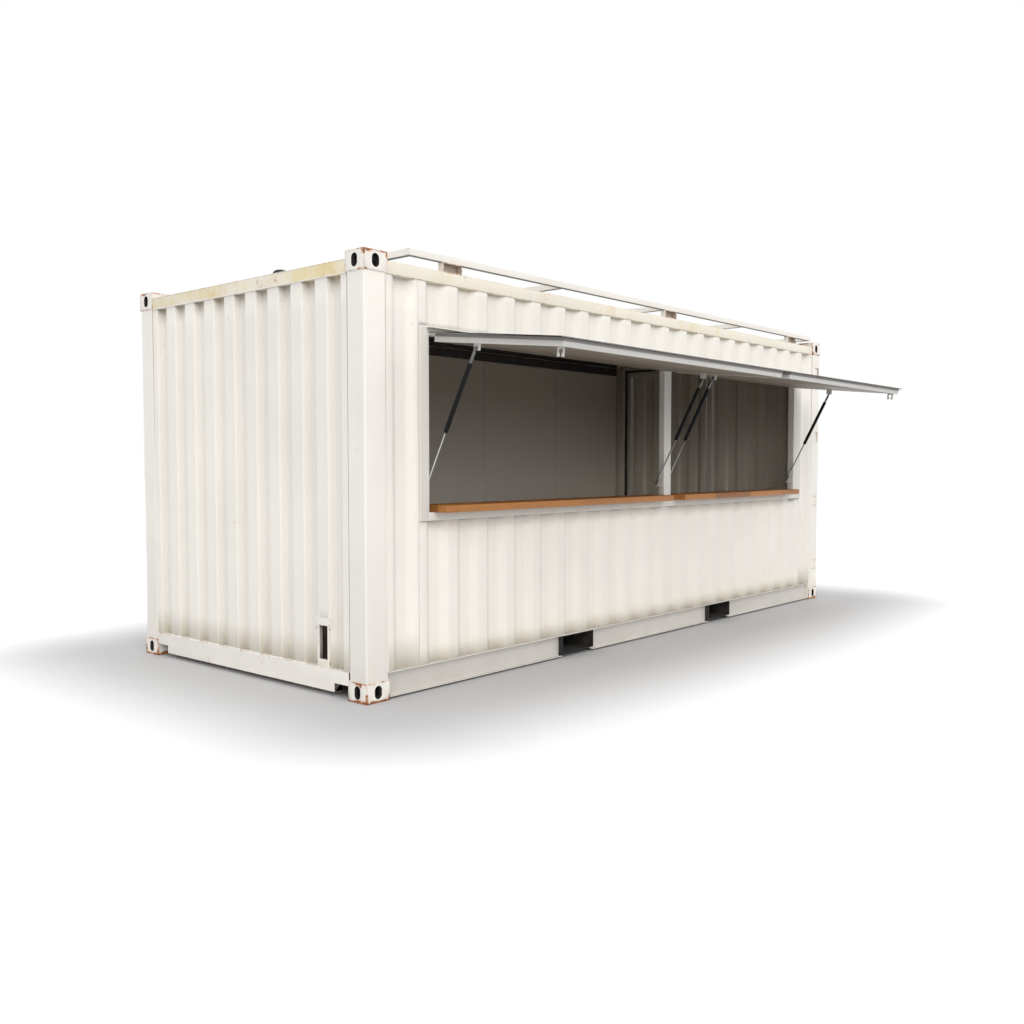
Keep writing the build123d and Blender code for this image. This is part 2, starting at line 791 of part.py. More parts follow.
for name, place in strut_places.items():
    with BuildPart(strut_plane) as barrel:
        eye_x = strut_eye(place, 0)
        rod_along_z(place, (0, strut_barrel_start), strut_neck_radius)
        rod_along_x(overrun(eye_x), 0, 0, strut_stud_radius + strut_stud_fit, mode=Mode.SUBTRACT)
        rod_along_z(place, (strut_barrel_start, strut_barrel_end), strut_barrel_radius)
        rod_along_z(place, (strut_bore_start, strut_barrel_end + cut_overrun), strut_rod_radius + strut_rod_fit,
                    mode=Mode.SUBTRACT)
    keep(barrel, f"{name}_barrel")
    with BuildPart(strut_plane) as rod:
        strut_eye(place, strut_length)
        rod_along_z(place, (strut_barrel_end - strut_rod_overlap, strut_length), strut_rod_radius)
    keep(rod, f"{name}_rod")

# Lower strut brackets on jambs and mullion
with BuildPart() as strut_brackets:
    for bay in hatch_bays.values():
        for face, inwards in zip(bay, (1, -1)):
            plate_x = span(face, face + inwards * foot_plate_thickness)
            plate_y = (strut_foot_y - foot_plate_width + strut_plate_margin, strut_foot_y + strut_plate_margin)
            plate_z = (strut_foot_height - foot_plate_height / 2, strut_foot_height + foot_plate_height / 2)
            block(plate_x, plate_y, plate_z)
            stud_end = face + inwards * (strut_offset - strut_eye_width / 2 - foot_stud_gap)
            rod_along_x(span(face, stud_end), strut_foot_y, strut_foot_height, strut_stud_radius)
keep(strut_brackets, "strut_brackets")


# Cargo doors: a leaf on each side, hung on pins at the outer edge of its post
def door_leaf(side_y):
    """A welded frame with a corrugated panel and the hinge blades."""
    x = (door_inner, door_outer)
    y = span(side_y * door_y[0], side_y * door_y[1])
    panel_y = inset(y, door_bar_width)
    panel_z = inset(door_z, door_bar_width)
    block(x, y, door_z)
    block(overrun(x), panel_y, panel_z, mode=Mode.SUBTRACT)
    pitch = (panel_y[1] - panel_y[0]) / door_wave_count
    points = wave_points(panel_y[0], pitch, door_wave_count, end_flat_share, end_slope_share)
    outline = sheet_outline(points, door_outer, -door_wave_depth, -sheet_thickness)
    with BuildSketch(Plane.XY.offset(panel_z[0])) as section:
        with BuildLine():
            Polyline(*[(depth, place) for place, depth in outline], close=True)
        make_face()
    extrude(section.sketch, amount=panel_z[1] - panel_z[0])
    pin_y = side_y * door_pin_y
    leg_y = span(pin_y, pin_y - side_y * door_leg_thickness)
    blade_y = span(side_y * (door_y[1] - door_blade_grip), pin_y)
    for place in blade_places:
        blade_z = (place - door_blade_height / 2, place + door_blade_height / 2)
        block((door_outer, door_outer + door_blade_thickness), blade_y, blade_z)
        block((door_outer, door_pin_x), leg_y, blade_z)
        with Locations((door_pin_x, pin_y, place)):
            Cylinder(door_knuckle_radius, door_blade_height)
            Cylinder(door_pin_radius + door_pin_fit, door_blade_height + cut_overrun, mode=Mode.SUBTRACT)


def lock_bars(side_y):
    """Two round bars with guides and a flat handle each, on the outside of a leaf."""
    bar_z = (door_z[0] - lock_bar_reach, door_z[1] + lock_bar_reach)
    for share in lock_bar_shares:
        place = side_y * at_share(door_y, share)
        with Locations((lock_bar_x, place, mid(bar_z))):
            Cylinder(lock_bar_radius, bar_z[1] - bar_z[0])
        for guide_share in lock_guide_shares:
            level = at_share(door_z, guide_share)
            block((door_outer, lock_bar_x), (place - lock_guide_width / 2, place + lock_guide_width / 2),
                  (level - lock_guide_height / 2, level + lock_guide_height / 2))
        level = at_share(door_z, lock_handle_share)
        handle_x = (lock_bar_x - lock_handle_thickness / 2, lock_bar_x + lock_handle_thickness / 2)
        block(handle_x, span(place, place + side_y * lock_handle_length / 2),
              (level - lock_handle_height / 2, level + lock_handle_height / 2))


for name, side_y in {"service": -1, "back": 1}.items():
    with BuildPart() as leaf:
        door_leaf(side_y)
    keep(leaf, f"{name}_door_leaf")
    with BuildPart() as bars:
        lock_bars(side_y)
    keep(bars, f"{name}_door_lock_bars")

with BuildPart() as door_hinge_lugs:
    for side_y in (-1, 1):
        pin_y = side_y * door_pin_y
        lug_y = (pin_y - door_lug_width / 2, pin_y + door_lug_width / 2)
        for place in blade_places:
            near = door_blade_height / 2 + door_lug_gap
            for end in (-1, 1):
                lug_z = span(place + end * near, place + end * (near + door_lug_thickness))
                block((door_post_face, door_pin_x + door_lug_width / 2), lug_y, lug_z)
            with Locations((door_pin_x, pin_y, place)):
                Cylinder(door_pin_radius, 2 * (near + door_lug_thickness))
keep(door_hinge_lugs, "door_hinge_lugs")

# Tube frame on the roof, with its brackets on the service rail and feet on the roof's ridges
frame_base = roof_level + bracket_height
roof_frame_x = (-casting_inner_x + roof_frame_blind_gap, casting_inner_x - roof_frame_door_gap)
roof_frame_front = -half_width + frame_setback + bracket_depth - roof_tube
roof_frame_y = (roof_frame_front, roof_frame_front + roof_frame_depth)
roof_frame_z = (frame_base, frame_base + roof_tube)

with BuildPart() as roof_frame:
    bars = [(edge, edge + roof_tube) for edge in (roof_frame_x[0], roof_frame_x[1] - roof_tube)]
    for share in roof_bar_shares:
        place = at_share(roof_frame_x, share)
        bars.append((place - roof_tube / 2, place + roof_tube / 2))
    for edge in (roof_frame_y[0], roof_frame_y[1] - roof_tube):
        tube(roof_frame_x, (edge, edge + roof_tube), roof_frame_z, roof_tube_wall, "x")
    for bar_x in bars:
        block(bar_x, inset(roof_frame_y, roof_tube), roof_frame_z)
keep(roof_frame, "roof_frame")

with BuildPart() as roof_frame_brackets:
    bracket_y = (-half_width + frame_setback, -half_width + frame_setback + bracket_depth)
    foot_line = roof_frame_y[1] - roof_tube / 2
    foot_y = (foot_line - foot_width / 2, foot_line + foot_width / 2)
    for share in bracket_shares:
        place = at_share(roof_frame_x, share)
        bracket_x = (place - bracket_width / 2, place + bracket_width / 2)
        tube(bracket_x, bracket_y, (roof_level, frame_base), bracket_wall, "y")
        block(bracket_x, (bracket_y[1] - bracket_back, bracket_y[1]), (roof_level, frame_base))
        block((place - foot_length / 2, place + foot_length / 2), foot_y, (roof_crest, frame_base))
keep(roof_frame_brackets, "roof_frame_brackets")

# Vent cap on the roof
with BuildPart() as roof_vent:
    roof_vent_place = -roof_half_length + roof_vent_inset
    base_half = roof_vent_base / 2
    base_z = (roof_crest, roof_crest + roof_vent_base_thickness)
    block((roof_vent_place - base_half, roof_vent_place + base_half), (-base_half, base_half), base_z)
    pipe_top = base_z[1] + roof_vent_pipe_height
    with Locations((roof_vent_place, 0, mid((base_z[1], pipe_top)))):
        Cylinder(roof_vent_pipe_radius, roof_vent_pipe_height)
    with Locations((roof_vent_place, 0, pipe_top + roof_vent_cap_height / 2)):
        Cylinder(roof_vent_cap_radius, roof_vent_cap_height)
    fillet(edges().group_by(Axis.Z)[-1], radius=roof_vent_cap_height * roof_vent_round_share)
keep(roof_vent, "roof_vent")
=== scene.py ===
import json
import math

import bmesh
import bpy
from bpy.props import FloatProperty, FloatVectorProperty, PointerProperty
from mathutils import Euler, Matrix, Vector

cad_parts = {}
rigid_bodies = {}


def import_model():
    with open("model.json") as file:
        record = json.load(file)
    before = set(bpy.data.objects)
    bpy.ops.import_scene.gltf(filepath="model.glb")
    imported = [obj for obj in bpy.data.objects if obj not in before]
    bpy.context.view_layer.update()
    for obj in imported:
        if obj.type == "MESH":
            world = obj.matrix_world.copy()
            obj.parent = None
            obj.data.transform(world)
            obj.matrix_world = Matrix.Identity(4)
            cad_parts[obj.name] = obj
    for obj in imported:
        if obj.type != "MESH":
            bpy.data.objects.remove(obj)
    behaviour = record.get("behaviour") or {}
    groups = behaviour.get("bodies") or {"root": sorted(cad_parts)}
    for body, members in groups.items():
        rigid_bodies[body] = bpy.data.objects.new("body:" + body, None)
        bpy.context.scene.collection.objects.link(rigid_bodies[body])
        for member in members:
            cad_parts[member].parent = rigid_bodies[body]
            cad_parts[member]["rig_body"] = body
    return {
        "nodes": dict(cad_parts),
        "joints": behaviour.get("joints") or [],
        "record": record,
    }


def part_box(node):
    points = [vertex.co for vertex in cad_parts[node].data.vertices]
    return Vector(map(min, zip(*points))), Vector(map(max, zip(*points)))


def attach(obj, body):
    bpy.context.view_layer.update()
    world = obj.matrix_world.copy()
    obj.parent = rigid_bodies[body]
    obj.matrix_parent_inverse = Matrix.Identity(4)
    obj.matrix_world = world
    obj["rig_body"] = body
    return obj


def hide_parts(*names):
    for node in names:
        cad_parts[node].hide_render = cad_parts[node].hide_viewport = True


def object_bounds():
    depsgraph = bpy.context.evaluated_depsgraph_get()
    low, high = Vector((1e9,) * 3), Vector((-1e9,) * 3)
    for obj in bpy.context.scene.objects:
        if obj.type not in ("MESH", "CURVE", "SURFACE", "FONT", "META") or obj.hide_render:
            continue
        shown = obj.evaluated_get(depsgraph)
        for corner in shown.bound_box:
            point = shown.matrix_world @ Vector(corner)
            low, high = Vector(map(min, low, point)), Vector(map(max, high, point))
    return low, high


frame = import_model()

bl_info = {
    "name": "Container Bar",
    "version": (1, 0, 0),
    "blender": (4, 5, 0),
    "location": "3D View > Sidebar > Container Bar",
    "description": "Dresses the container bar: corrugated sheets, paint, counter, flaps, struts and doors",
    "category": "Object",
}

# Kept from the frame: its box, each node's material slot and each joint by name
cad_low, cad_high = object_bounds()
node_slots = {row["node"]: row["material_slot"] for row in frame["record"]["subparts"]}
joints = {joint["name"]: joint for joint in frame["joints"]}
ROOT = "root"
FLAPS = ("left_hatch", "right_hatch")
DOORS = ("service_door", "back_door")
STRUTS = [f"{flap}_{end}_strut" for flap in FLAPS for end in ("left", "right")]
# Faces deeper than this lie inside a hollow piece, and faces beyond these X and Y can look into the container
INSIDE_DEPTH = 0.005
END_INNER = 2.8
SIDE_INNER = 1.0
# Slot names that are handed along with the pieces that stand for no node
WHITE, ZINC, DARK = "white_paint", "galvanised_steel", "dark_plastic"
RIGHT = Vector((1, 0, 0))
BLACK = (0, 0, 0, 1)
PURE_WHITE = (1, 1, 1, 1)


def length(name, description, default):
    """A size in metres for the panel."""
    return FloatProperty(name=name, description=description, default=default, unit="LENGTH", precision=4)


def share(name, description, default):
    """A plain share for the panel."""
    return FloatProperty(name=name, description=description, default=default, subtype="FACTOR", min=0, max=1)


def angle(name, description, degrees):
    """An angle for the panel."""
    return FloatProperty(name=name, description=description, default=math.radians(degrees), subtype="ANGLE")


def colour(name, description, default):
    """A colour for the panel."""
    return FloatVectorProperty(name=name, description=description, default=default, subtype="COLOR", size=3,
                               min=0, max=1)


class BarColours(bpy.types.PropertyGroup):
    """Colours of paint, dirt, wood and rubber, and of painted shade and painted light."""

    white: colour("White paint", "Paint of walls and frame", (0.80, 0.772, 0.722))
    rail_white: colour("Rail paint", "Yellowed paint of the top rails", (0.79, 0.745, 0.64))
    flap_white: colour("Flap paint", "Paint of the hatch flaps", (0.56, 0.55, 0.525))
    # The flaps' underside colour is darkened as painted shade
    lining: colour("Lining", "Under side of the hatch flaps", (0.245, 0.205, 0.165))
    # Inner paint: partly the lining's own grey-brown, partly painted shade of the dark interior
    inner: colour("Inner paint", "Bare inner side of walls and roof", (0.42, 0.365, 0.30))
    # Painted light: the inner paint turns lighter lower down, as if lit through the hatch opening
    inner_low: colour("Low inner paint", "Inner side lower down", (0.84, 0.79, 0.70))
    cream: colour("Cream stain", "Yellowed patches of the paint", (0.70, 0.585, 0.32))
    rust_dark: colour("Dark rust", "Old rust", (0.13, 0.055, 0.022))
    rust_bright: colour("Bright rust", "Fresh rust at edges", (0.52, 0.20, 0.065))
    grime: colour("Grime", "Dirt in streaks and near the ground", (0.33, 0.30, 0.25))
    zinc: colour("Zinc", "Galvanised steel", (0.42, 0.41, 0.385))
    chrome: colour("Rod steel", "Polished strut rods", (0.30, 0.30, 0.305))
    fitting: colour("Fitting steel", "End fittings of the struts", (0.16, 0.158, 0.155))
    black: colour("Black paint", "Strut barrels", (0.012, 0.012, 0.012))
    # The rubber colour is also the black of painted shade inside hollow steel and on faces that look inside
    rubber: colour("Rubber", "Door seals and the insides of hollow steel", (0.018, 0.017, 0.016))
    # Grey seal: a seal under the flaps' lips that also stands for their shade, and painted shade under the roof
    # frame
    seal: colour("Grey seal", "Seals under the flaps' lips", (0.21, 0.205, 0.195))
    wood_light: colour("Light wood", "Light staves of the counter", (0.40, 0.158, 0.03))
    wood_dark: colour("Dark wood", "Dark staves of the counter", (0.17, 0.058, 0.011))
    plywood: colour("Plywood", "Floor boards", (0.235, 0.148, 0.078))


class BarSizes(bpy.types.PropertyGroup):
    """Sizes that only the looks need; all others come from the frame."""

    wall_dent: length("Wall dents", "Height of the soft dents in the walls", 0.003)
    edge_round: length("Edge rounding", "Rounding of folded steel edges", 0.002)
    casting_round: length("Casting rounding", "Rounding of the corner castings", 0.006)
    board_round: length("Board rounding", "Rounding of the counter boards", 0.004)
    sheet: length("Sheet", "Thickness of the corrugated sheets", 0.002)
    stave_width: length("Stave width", "Width of the counter's staves", 0.042)
    stave_length: length("Stave length", "Length of the counter's staves", 0.62)
    trim_height: length("Trim height", "Height of the black strip round a flap", 0.007)
    trim_width: length("Trim width", "Width of the black strip round a flap", 0.008)
    seal_height: length("Flap seal", "Height of the grey seal under a flap's lip", 0.017)
    seal_width: length("Flap seal width", "Thickness of the grey seal under a flap's lip", 0.004)
    gasket_width: length("Door gasket", "Width of the rubber round a cargo door", 0.026)
    gasket_height: length("Door gasket height", "Height of the rubber round a cargo door", 0.005)
    bolt_radius: length("Bolt radius", "Radius of a bolt head", 0.0085)
    screw_radius: length("Screw radius", "Radius of a screw or rivet head", 0.0055)
    weld_radius: length("Weld radius", "Radius of a weld bead", 0.005)
    strut_barrel: length("Strut barrel", "Radius of a strut barrel", 0.014)
    strut_neck: length("Strut neck", "Radius of the fitting on top of a strut", 0.0095)
    strut_rod: length("Strut rod", "Radius of a strut rod", 0.006)
    strut_eye: length("Strut eye", "Radius of a strut's end eyes", 0.011)
    strut_neck_length: length("Strut neck length", "Length of the fitting on top of a strut", 0.095)


class BarStage(bpy.types.PropertyGroup):
    """Camera, lamp and floor."""

    camera_place: FloatVectorProperty(name="Camera", description="Place of the camera", size=3,
                                      default=(-6.7493, -5.5377, 1.3859),
                                      subtype="TRANSLATION", unit="LENGTH")
    camera_yaw: angle("Yaw", "Turn of the camera from +Y to +X", 49.12)
    camera_pitch: angle("Pitch", "Tilt of the camera, down is negative", -2.83)
    camera_lens: FloatProperty(name="Lens", description="Focal length on a 36 mm sensor", default=35.06)
    key_power: FloatProperty(name="Key", description="Strength of the soft lamp far off", default=1.35)
    key_spread: angle("Key spread", "Width of the soft lamp as an angle", 50)
    sky: FloatProperty(name="Sky", description="Strength of the even light from all round", default=0.97)
    floor: colour("Floor", "Pale floor", (0.72, 0.72, 0.725))
    floor_bounce: share("Floor bounce", "Share of the floor's light that reaches the object", 0.95)
    # Glow and shade of the floor together paint a shadow round the container's footprint
    floor_glow: share("Floor glow", "How far the distant floor is lifted to white", 0.66)
    floor_shade: share("Floor shade", "How far the floor is darkened for the camera", 0.22)


# Node helpers
class Wire:
    """An output of a node, where plain arithmetic adds the next node."""

    def __init__(self, tree, socket):
        self.tree, self.socket = tree, socket

    def __add__(self, other):
        return maths("ADD", self, other)

    def __sub__(self, other):
        return maths("SUBTRACT", self, other)

    def __rsub__(self, other):
        return maths("SUBTRACT", other, self)

    def __mul__(self, other):
        return maths("MULTIPLY", self, other)

    def __truediv__(self, other):
        return maths("DIVIDE", self, other)

    def __abs__(self):
        return maths("ABSOLUTE", self)


def add(tree, kind, inputs=None, **settings):
    """Add a node with these settings, and fill its inputs with values or wires."""
    node = tree.nodes.new(kind)
    for name, value in settings.items():
        setattr(node, name, value)
    for socket, source in (inputs or {}).items():
        if isinstance(source, Wire):
            tree.links.new(source.socket, node.inputs[socket])
        else:
            node.inputs[socket].default_value = source
    return node


def wire(tree, kind, inputs=None, output=0, **settings):
    """Add a node, and take one of its outputs."""
    return Wire(tree, add(tree, kind, inputs, **settings).outputs[output])


def follow(kind, inputs, output=0, **settings):
    """Add a node to the tree of the wires that lead into it, and take one of its outputs."""
    tree = next(source.tree for source in inputs.values() if isinstance(source, Wire))
    return wire(tree, kind, inputs, output, **settings)


def maths(operation, first, second=0.0):
    """One step of arithmetic."""
    return follow("ShaderNodeMath", {0: first, 1: second}, operation=operation)


def vector_maths(operation, first, second=(0, 0, 0), output=0):
    """One step of arithmetic with vectors."""
    return follow("ShaderNodeVectorMath", {0: first, 1: second}, output, operation=operation)


def ramp(value, low, high, top=1.0):
    """A soft step from 0 at low to top at high."""
    inputs = {0: value, 1: low, 2: high, 3: 0.0, 4: top}
    return follow("ShaderNodeMapRange", inputs, interpolation_type="SMOOTHSTEP")


def flat(shade, amount=1.0):
    """A colour with its alpha, made darker by an amount."""
    return (*[part * amount for part in shade], 1.0)


def blend(factor, first, second):
    """Two colours mixed by a factor."""
    return follow("ShaderNodeMix", {0: factor, 6: first, 7: second}, 2, data_type="RGBA")


def axes(place):
    """The three parts of a vector."""
    return [Wire(place.tree, part) for part in add(place.tree, "ShaderNodeSeparateXYZ", {0: place}).outputs]


def stretch(place, scale, shift=(0.0, 0.0, 0.0)):
    """Coordinates scaled and shifted."""
    return follow("ShaderNodeMapping", {"Vector": place, "Scale": scale, "Location": shift})


def speckle(place, scale, detail=4.0, rough=0.6):
    """A cloudy value between 0 and 1."""
    inputs = {"Vector": place, "Scale": scale, "Detail": detail, "Roughness": rough}
    return follow("ShaderNodeTexNoise", inputs)


def chance(key, socket, dimensions):
    """A value between 0 and 1 that is drawn by a key."""
    return follow("ShaderNodeTexWhiteNoise", {socket: key}, "Value", noise_dimensions=dimensions)


def new_material(name):
    """A new material and the coordinates of the piece that wears it."""
    material = bpy.data.materials.new(name)
    material.use_nodes = True
    return material, wire(material.node_tree, "ShaderNodeTexCoord", output="Object")


def surface(material, skin, matt, height, strength, distance):
    """Join colour, roughness and a bump from a height to a material's shader, and give the shader."""
    tree = material.node_tree
    shader = tree.nodes["Principled BSDF"]
    bump = wire(tree, "ShaderNodeBump", {"Height": height, "Strength": strength, "Distance": distance})
    for label, source in (("Base Color", skin), ("Roughness", matt), ("Normal", bump)):
        tree.links.new(source.socket, shader.inputs[label])
    return shader


# Finishes
def corner_edge(place):
    """How far a point on a corner casting is from the casting's nearest edge."""
    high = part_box("bottom_corner_castings")[1]
    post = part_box("blind_end_posts")
    width = high.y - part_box("end_sill")[1].y
    run = high.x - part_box("service_bottom_rail")[1].x
    middle = (post[0].z + post[1].z) / 2
    limits = ((0.0, high.x, run), (0.0, high.y, width), (middle, middle, high.z))
    depths = []
    for part, (centre, half, reach) in zip(axes(place), limits):
        depth = half - abs(part - centre)
        depths.append(maths("MINIMUM", depth, reach - depth))
    first, second, third = depths
    upper = maths("MINIMUM", maths("MAXIMUM", first, second), third)
    return maths("MAXIMUM", maths("MINIMUM", first, second), upper)


def paint(name, base, tint=1.0, cream=0.1, rust=0.05, grime=0.3, gloss=0.42, corner=False, low=None):
    """Weathered paint: uneven tone, stains, dirt that runs down or splashes up, rust specks, orange peel."""
    colours = bpy.context.scene.bar_colours
    material, place = new_material(name)
    height = axes(place)[2]
    skin = blend(ramp(speckle(place, 1.1, 4), 0.3, 0.7), flat(base, tint), flat(base, 0.94 * tint))
    # A colour low down: a yellowed stain for the wall paint, painted light for the inner paint
    if low:
        shade, start, end = low
        skin = blend(ramp(height, start, end), flat(getattr(colours, shade)), skin)
    stains = speckle(stretch(place, (1.0, 1.0, 0.8), (3.1, 7.7, 1.9)), 3.0, 7, 0.66)
    stains = ramp(stains, 0.66 - 0.34 * cream, 0.86 - 0.24 * cream, min(1.0, 0.25 + cream))
    skin = blend(stains, skin, flat(colours.cream))
    runs = speckle(stretch(place, (17.0, 17.0, 0.6)), 1.0, 5, 0.62)
    skin = blend(ramp(runs, 0.52, 0.8, 0.42 * grime), skin, flat(colours.grime))
    splash = ramp(speckle(place, 6.0, 6, 0.7), 0.36, 0.76, 0.5 * grime)
    skin = blend((1.0 - ramp(height, 0.02, 0.42)) * splash, skin, flat(colours.grime))
    flakes = speckle(stretch(place, (1.0, 1.0, 1.0), (11.3, 2.9, 5.1)), 34.0, 9, 0.74)
    groups = ramp(speckle(place, 3.4, 3), 0.62 - 0.5 * rust, 0.72 - 0.4 * rust)
    full = 0.70 - 0.25 * rust
    bare = ramp(flakes, 0.66 - 0.26 * rust, full) * groups
    halo = ramp(flakes, 0.56 - 0.26 * rust, full, 0.55) * groups
    if corner:
        reach = ramp(speckle(place, 9.0, 5, 0.7), 0.45, 0.74) * 0.036
        reach = reach + ramp(height, 0.075, 0.0) * speckle(place, 26.0, 4, 0.7) * 0.027
        near = reach - corner_edge(place)
        bare = maths("MAXIMUM", bare, ramp(near, 0.002, 0.010))
        halo = maths("MAXIMUM", halo, ramp(near, -0.008, 0.008, 0.7))
    bright = flat(colours.rust_bright)
    oxide = blend(ramp(speckle(place, 70.0, 4), 0.42, 0.6), flat(colours.rust_dark), bright)
    skin = blend(bare, blend(halo, skin, bright), oxide)
    matt = ramp(speckle(place, 9.0, 5), 0.3, 0.75, 0.22) + gloss + bare * 0.35
    waves = speckle(place, 420.0, 2) * 0.25 + speckle(place, 22.0, 3) * 0.8
    surface(material, skin, matt, waves - bare, 0.22, 0.0012)
    return material


def metal(name, shade, matt, mottle, metallic=1.0):
    """Bare steel: spangled zinc or polished rod, with dull patches and fine scratches along Z."""
    material, place = new_material(name)
    spangle = follow("ShaderNodeTexVoronoi", {"Vector": place, "Scale": 90.0}, "Color")
    spangle = follow("ShaderNodeSeparateColor", {0: spangle})
    dull = speckle(place, 8.0, 6, 0.65)
    skin = blend(spangle * mottle, flat(shade), flat(shade, 0.72))
    skin = blend(ramp(dull, 0.5, 0.75, mottle), skin, flat(bpy.context.scene.bar_colours.grime, 0.8))
    scratches = speckle(stretch(place, (600.0, 600.0, 40.0)), 1.0, 2)
    shader = surface(material, skin, ramp(dull, 0.3, 0.75, 0.2) + matt, scratches, 0.08, 0.0004)
    shader.inputs["Metallic"].default_value = metallic
    return material


def rubber(name, shade, matt, sheen=0.5, dusty=0.16):
    """Rubber, black paint or plastic with dust and a fine grain."""
    material, place = new_material(name)
    dust = ramp(speckle(place, 14.0, 6, 0.7), 0.48, 0.78, dusty)
    skin = blend(dust, flat(shade), flat(bpy.context.scene.bar_colours.grime))
    shader = surface(material, skin, dust + matt, speckle(place, 500.0, 3), 0.15, 0.0005)
    shader.inputs["Specular IOR Level"].default_value = sheen
    return material


def hardwood(name, light):
    """Oiled counter boards: staves of uneven tone with long grain, fine pores and glue lines."""
    sizes, dark = bpy.context.scene.bar_sizes, bpy.context.scene.bar_colours.wood_dark
    material, place = new_material(name)
    along, across, _ = axes(place)
    rows = across / sizes.stave_width
    row = maths("FLOOR", rows)
    staves = along / sizes.stave_length + chance(row, "W", "1D")
    key = follow("ShaderNodeCombineXYZ", {0: row, 1: maths("FLOOR", staves)})
    tone = chance(key, "Vector", "2D")
    moved = vector_maths("ADD", place, follow("ShaderNodeCombineXYZ", {0: tone * 9.0, 1: tone}))
    grain = speckle(stretch(moved, (2.2, 46.0, 46.0)), 1.0, 6, 0.62)
    pores = speckle(stretch(moved, (16.0, 420.0, 420.0)), 1.0, 3)
    skin = blend(ramp(tone * 0.5 + grain * 0.55, 0.12, 0.85), flat(dark), flat(light))
    skin = blend(ramp(pores, 0.54, 0.7, 0.5), skin, flat(dark, 0.55))
    edge, end = (abs(maths("FRACT", count) - 0.5) for count in (rows, staves))
    glue = maths("MAXIMUM", ramp(edge, 0.482, 0.498, 0.55), ramp(end, 0.498, 0.4995, 0.6))
    skin = blend(glue, skin, flat(dark, 0.4))
    dirt = ramp(speckle(place, 5.0, 6, 0.7), 0.52, 0.8, 0.35)
    skin = blend(dirt, skin, flat(dark, 0.7))
    surface(material, skin, grain * 0.25 + 0.36, grain * 0.6 - (glue + pores), 0.16, 0.0012)
    return material


def plywood(name, board):
    """Worn floor sheets: long grain across, dark seams, scuffs."""
    colours = bpy.context.scene.bar_colours
    sheet_run = 1.16
    material, place = new_material(name)
    sheets = axes(place)[0] / sheet_run
    tone = chance(maths("FLOOR", sheets), "W", "1D")
    grain = speckle(stretch(place, (34.0, 1.4, 34.0)), 1.0, 6, 0.6)
    skin = blend(tone * 0.4 + grain * 0.6, flat(board, 0.6), flat(board, 1.25))
    seam = ramp(abs(maths("FRACT", sheets) - 0.5), 0.4965, 0.4985)
    skin = blend(seam, skin, flat(colours.rubber))
    scuffs = ramp(speckle(place, 4.0, 7, 0.7), 0.5, 0.74, 0.5)
    skin = blend(scuffs, skin, flat(colours.grime, 0.8))
    surface(material, skin, scuffs + 0.45, grain - seam, 0.2, 0.0015)
    return material


# Each finish: its kind, its colour and its settings
FINISHES = {
    "wall paint": (paint, "white", dict(cream=0.10, rust=0.03, grime=0.10, low=("rail_white", 0.15, 0.36))),
    # Inner sides of walls, roof, posts, door frame, doors and roof brackets: painted shade, with painted light
    # lower down
    "inner paint": (paint, "inner", dict(cream=0.0, rust=0.04, grime=0.25, gloss=0.5,
                                         low=("inner_low", 1.1, 2.2))),
    "frame paint": (paint, "white", dict(cream=0.12, rust=0.10, grime=0.2)),
    "frame edge": (paint, "white", dict(cream=0.3, rust=0.5, grime=0.4)),
    # Paint brighter than white: a painted highlight on the sill's weld dashes
    "weld paint": (paint, "white", dict(tint=1.1, cream=0.0, rust=0.0, grime=0.0)),
    "soft edge": (paint, "white", dict(cream=0.25, rust=0.15, grime=0.3)),
    "rail paint": (paint, "rail_white", dict(cream=0.4, rust=0.12, grime=0.25)),
    "end rail paint": (paint, "rail_white", dict(cream=0.75, rust=0.2, grime=0.3)),
    "rail edge": (paint, "white", dict(cream=0.7, rust=0.6, grime=0.4)),
    "casting paint": (paint, "white", dict(cream=0.2, rust=0.10, grime=0.3, corner=True)),
    "bracket edge": (paint, "white", dict(cream=0.5, rust=0.95, grime=0.4, gloss=0.5)),
    # The bottom rails' paint is darkened to 0.72 as painted shade
    "low rail paint": (paint, "white", dict(tint=0.72, rust=0.08, grime=0.35)),
    "bracket paint": (paint, "white", dict(cream=0.5, rust=0.3, grime=0.35)),
    "hatch paint": (paint, "white", dict(tint=0.84, cream=0.15, rust=0.05, grime=0.3)),
    # Painted shade on the flaps' undersides
    "lining paint": (paint, "lining", dict(cream=0.05, rust=0.03, grime=0.4)),
    "flap paint": (paint, "flap_white", dict(cream=0.05, rust=0.0, grime=0.4)),
    "roof paint": (paint, "white", dict(cream=0.4, rust=0.12, grime=0.7)),
    # Black painted shade: fork pockets, hollows of castings and end sill, inward faces of top rails, top band
    # of the back lining
    "pocket black": (paint, "rubber", dict(cream=0.0, rust=0.12, grime=0.3, gloss=0.6)),
    "zinc": (metal, "zinc", dict(matt=0.42, mottle=0.5, metallic=0.75)),
    "rod steel": (metal, "chrome", dict(matt=0.24, mottle=0.12)),
    "fitting steel": (metal, "fitting", dict(matt=0.42, mottle=0.3)),
    "black paint": (rubber, "black", dict(matt=0.45, sheen=0.06, dusty=0.05)),
    "rubber": (rubber, "rubber", dict(matt=0.62)),
    # Grey for the flaps' seals, partly painted shade, and painted shade under the roof frame
    "grey seal": (rubber, "seal", dict(matt=0.62)),
    "counter wood": (hardwood, "wood_light", {}),
    "floor plywood": (plywood, "plywood", {}),
}


def finish(name):
    """The material of that name, made when it is first asked for."""
    kind, shade, settings = FINISHES[name]
    base = getattr(bpy.context.scene.bar_colours, shade)
    return bpy.data.materials.get(name) or kind(name, base, **settings)


# Mesh helpers
def new_piece(name, mesh):
    """An object at the origin that shows a mesh."""
    piece = bpy.data.objects.new(name, mesh)
    bpy.context.scene.collection.objects.link(piece)
    return piece


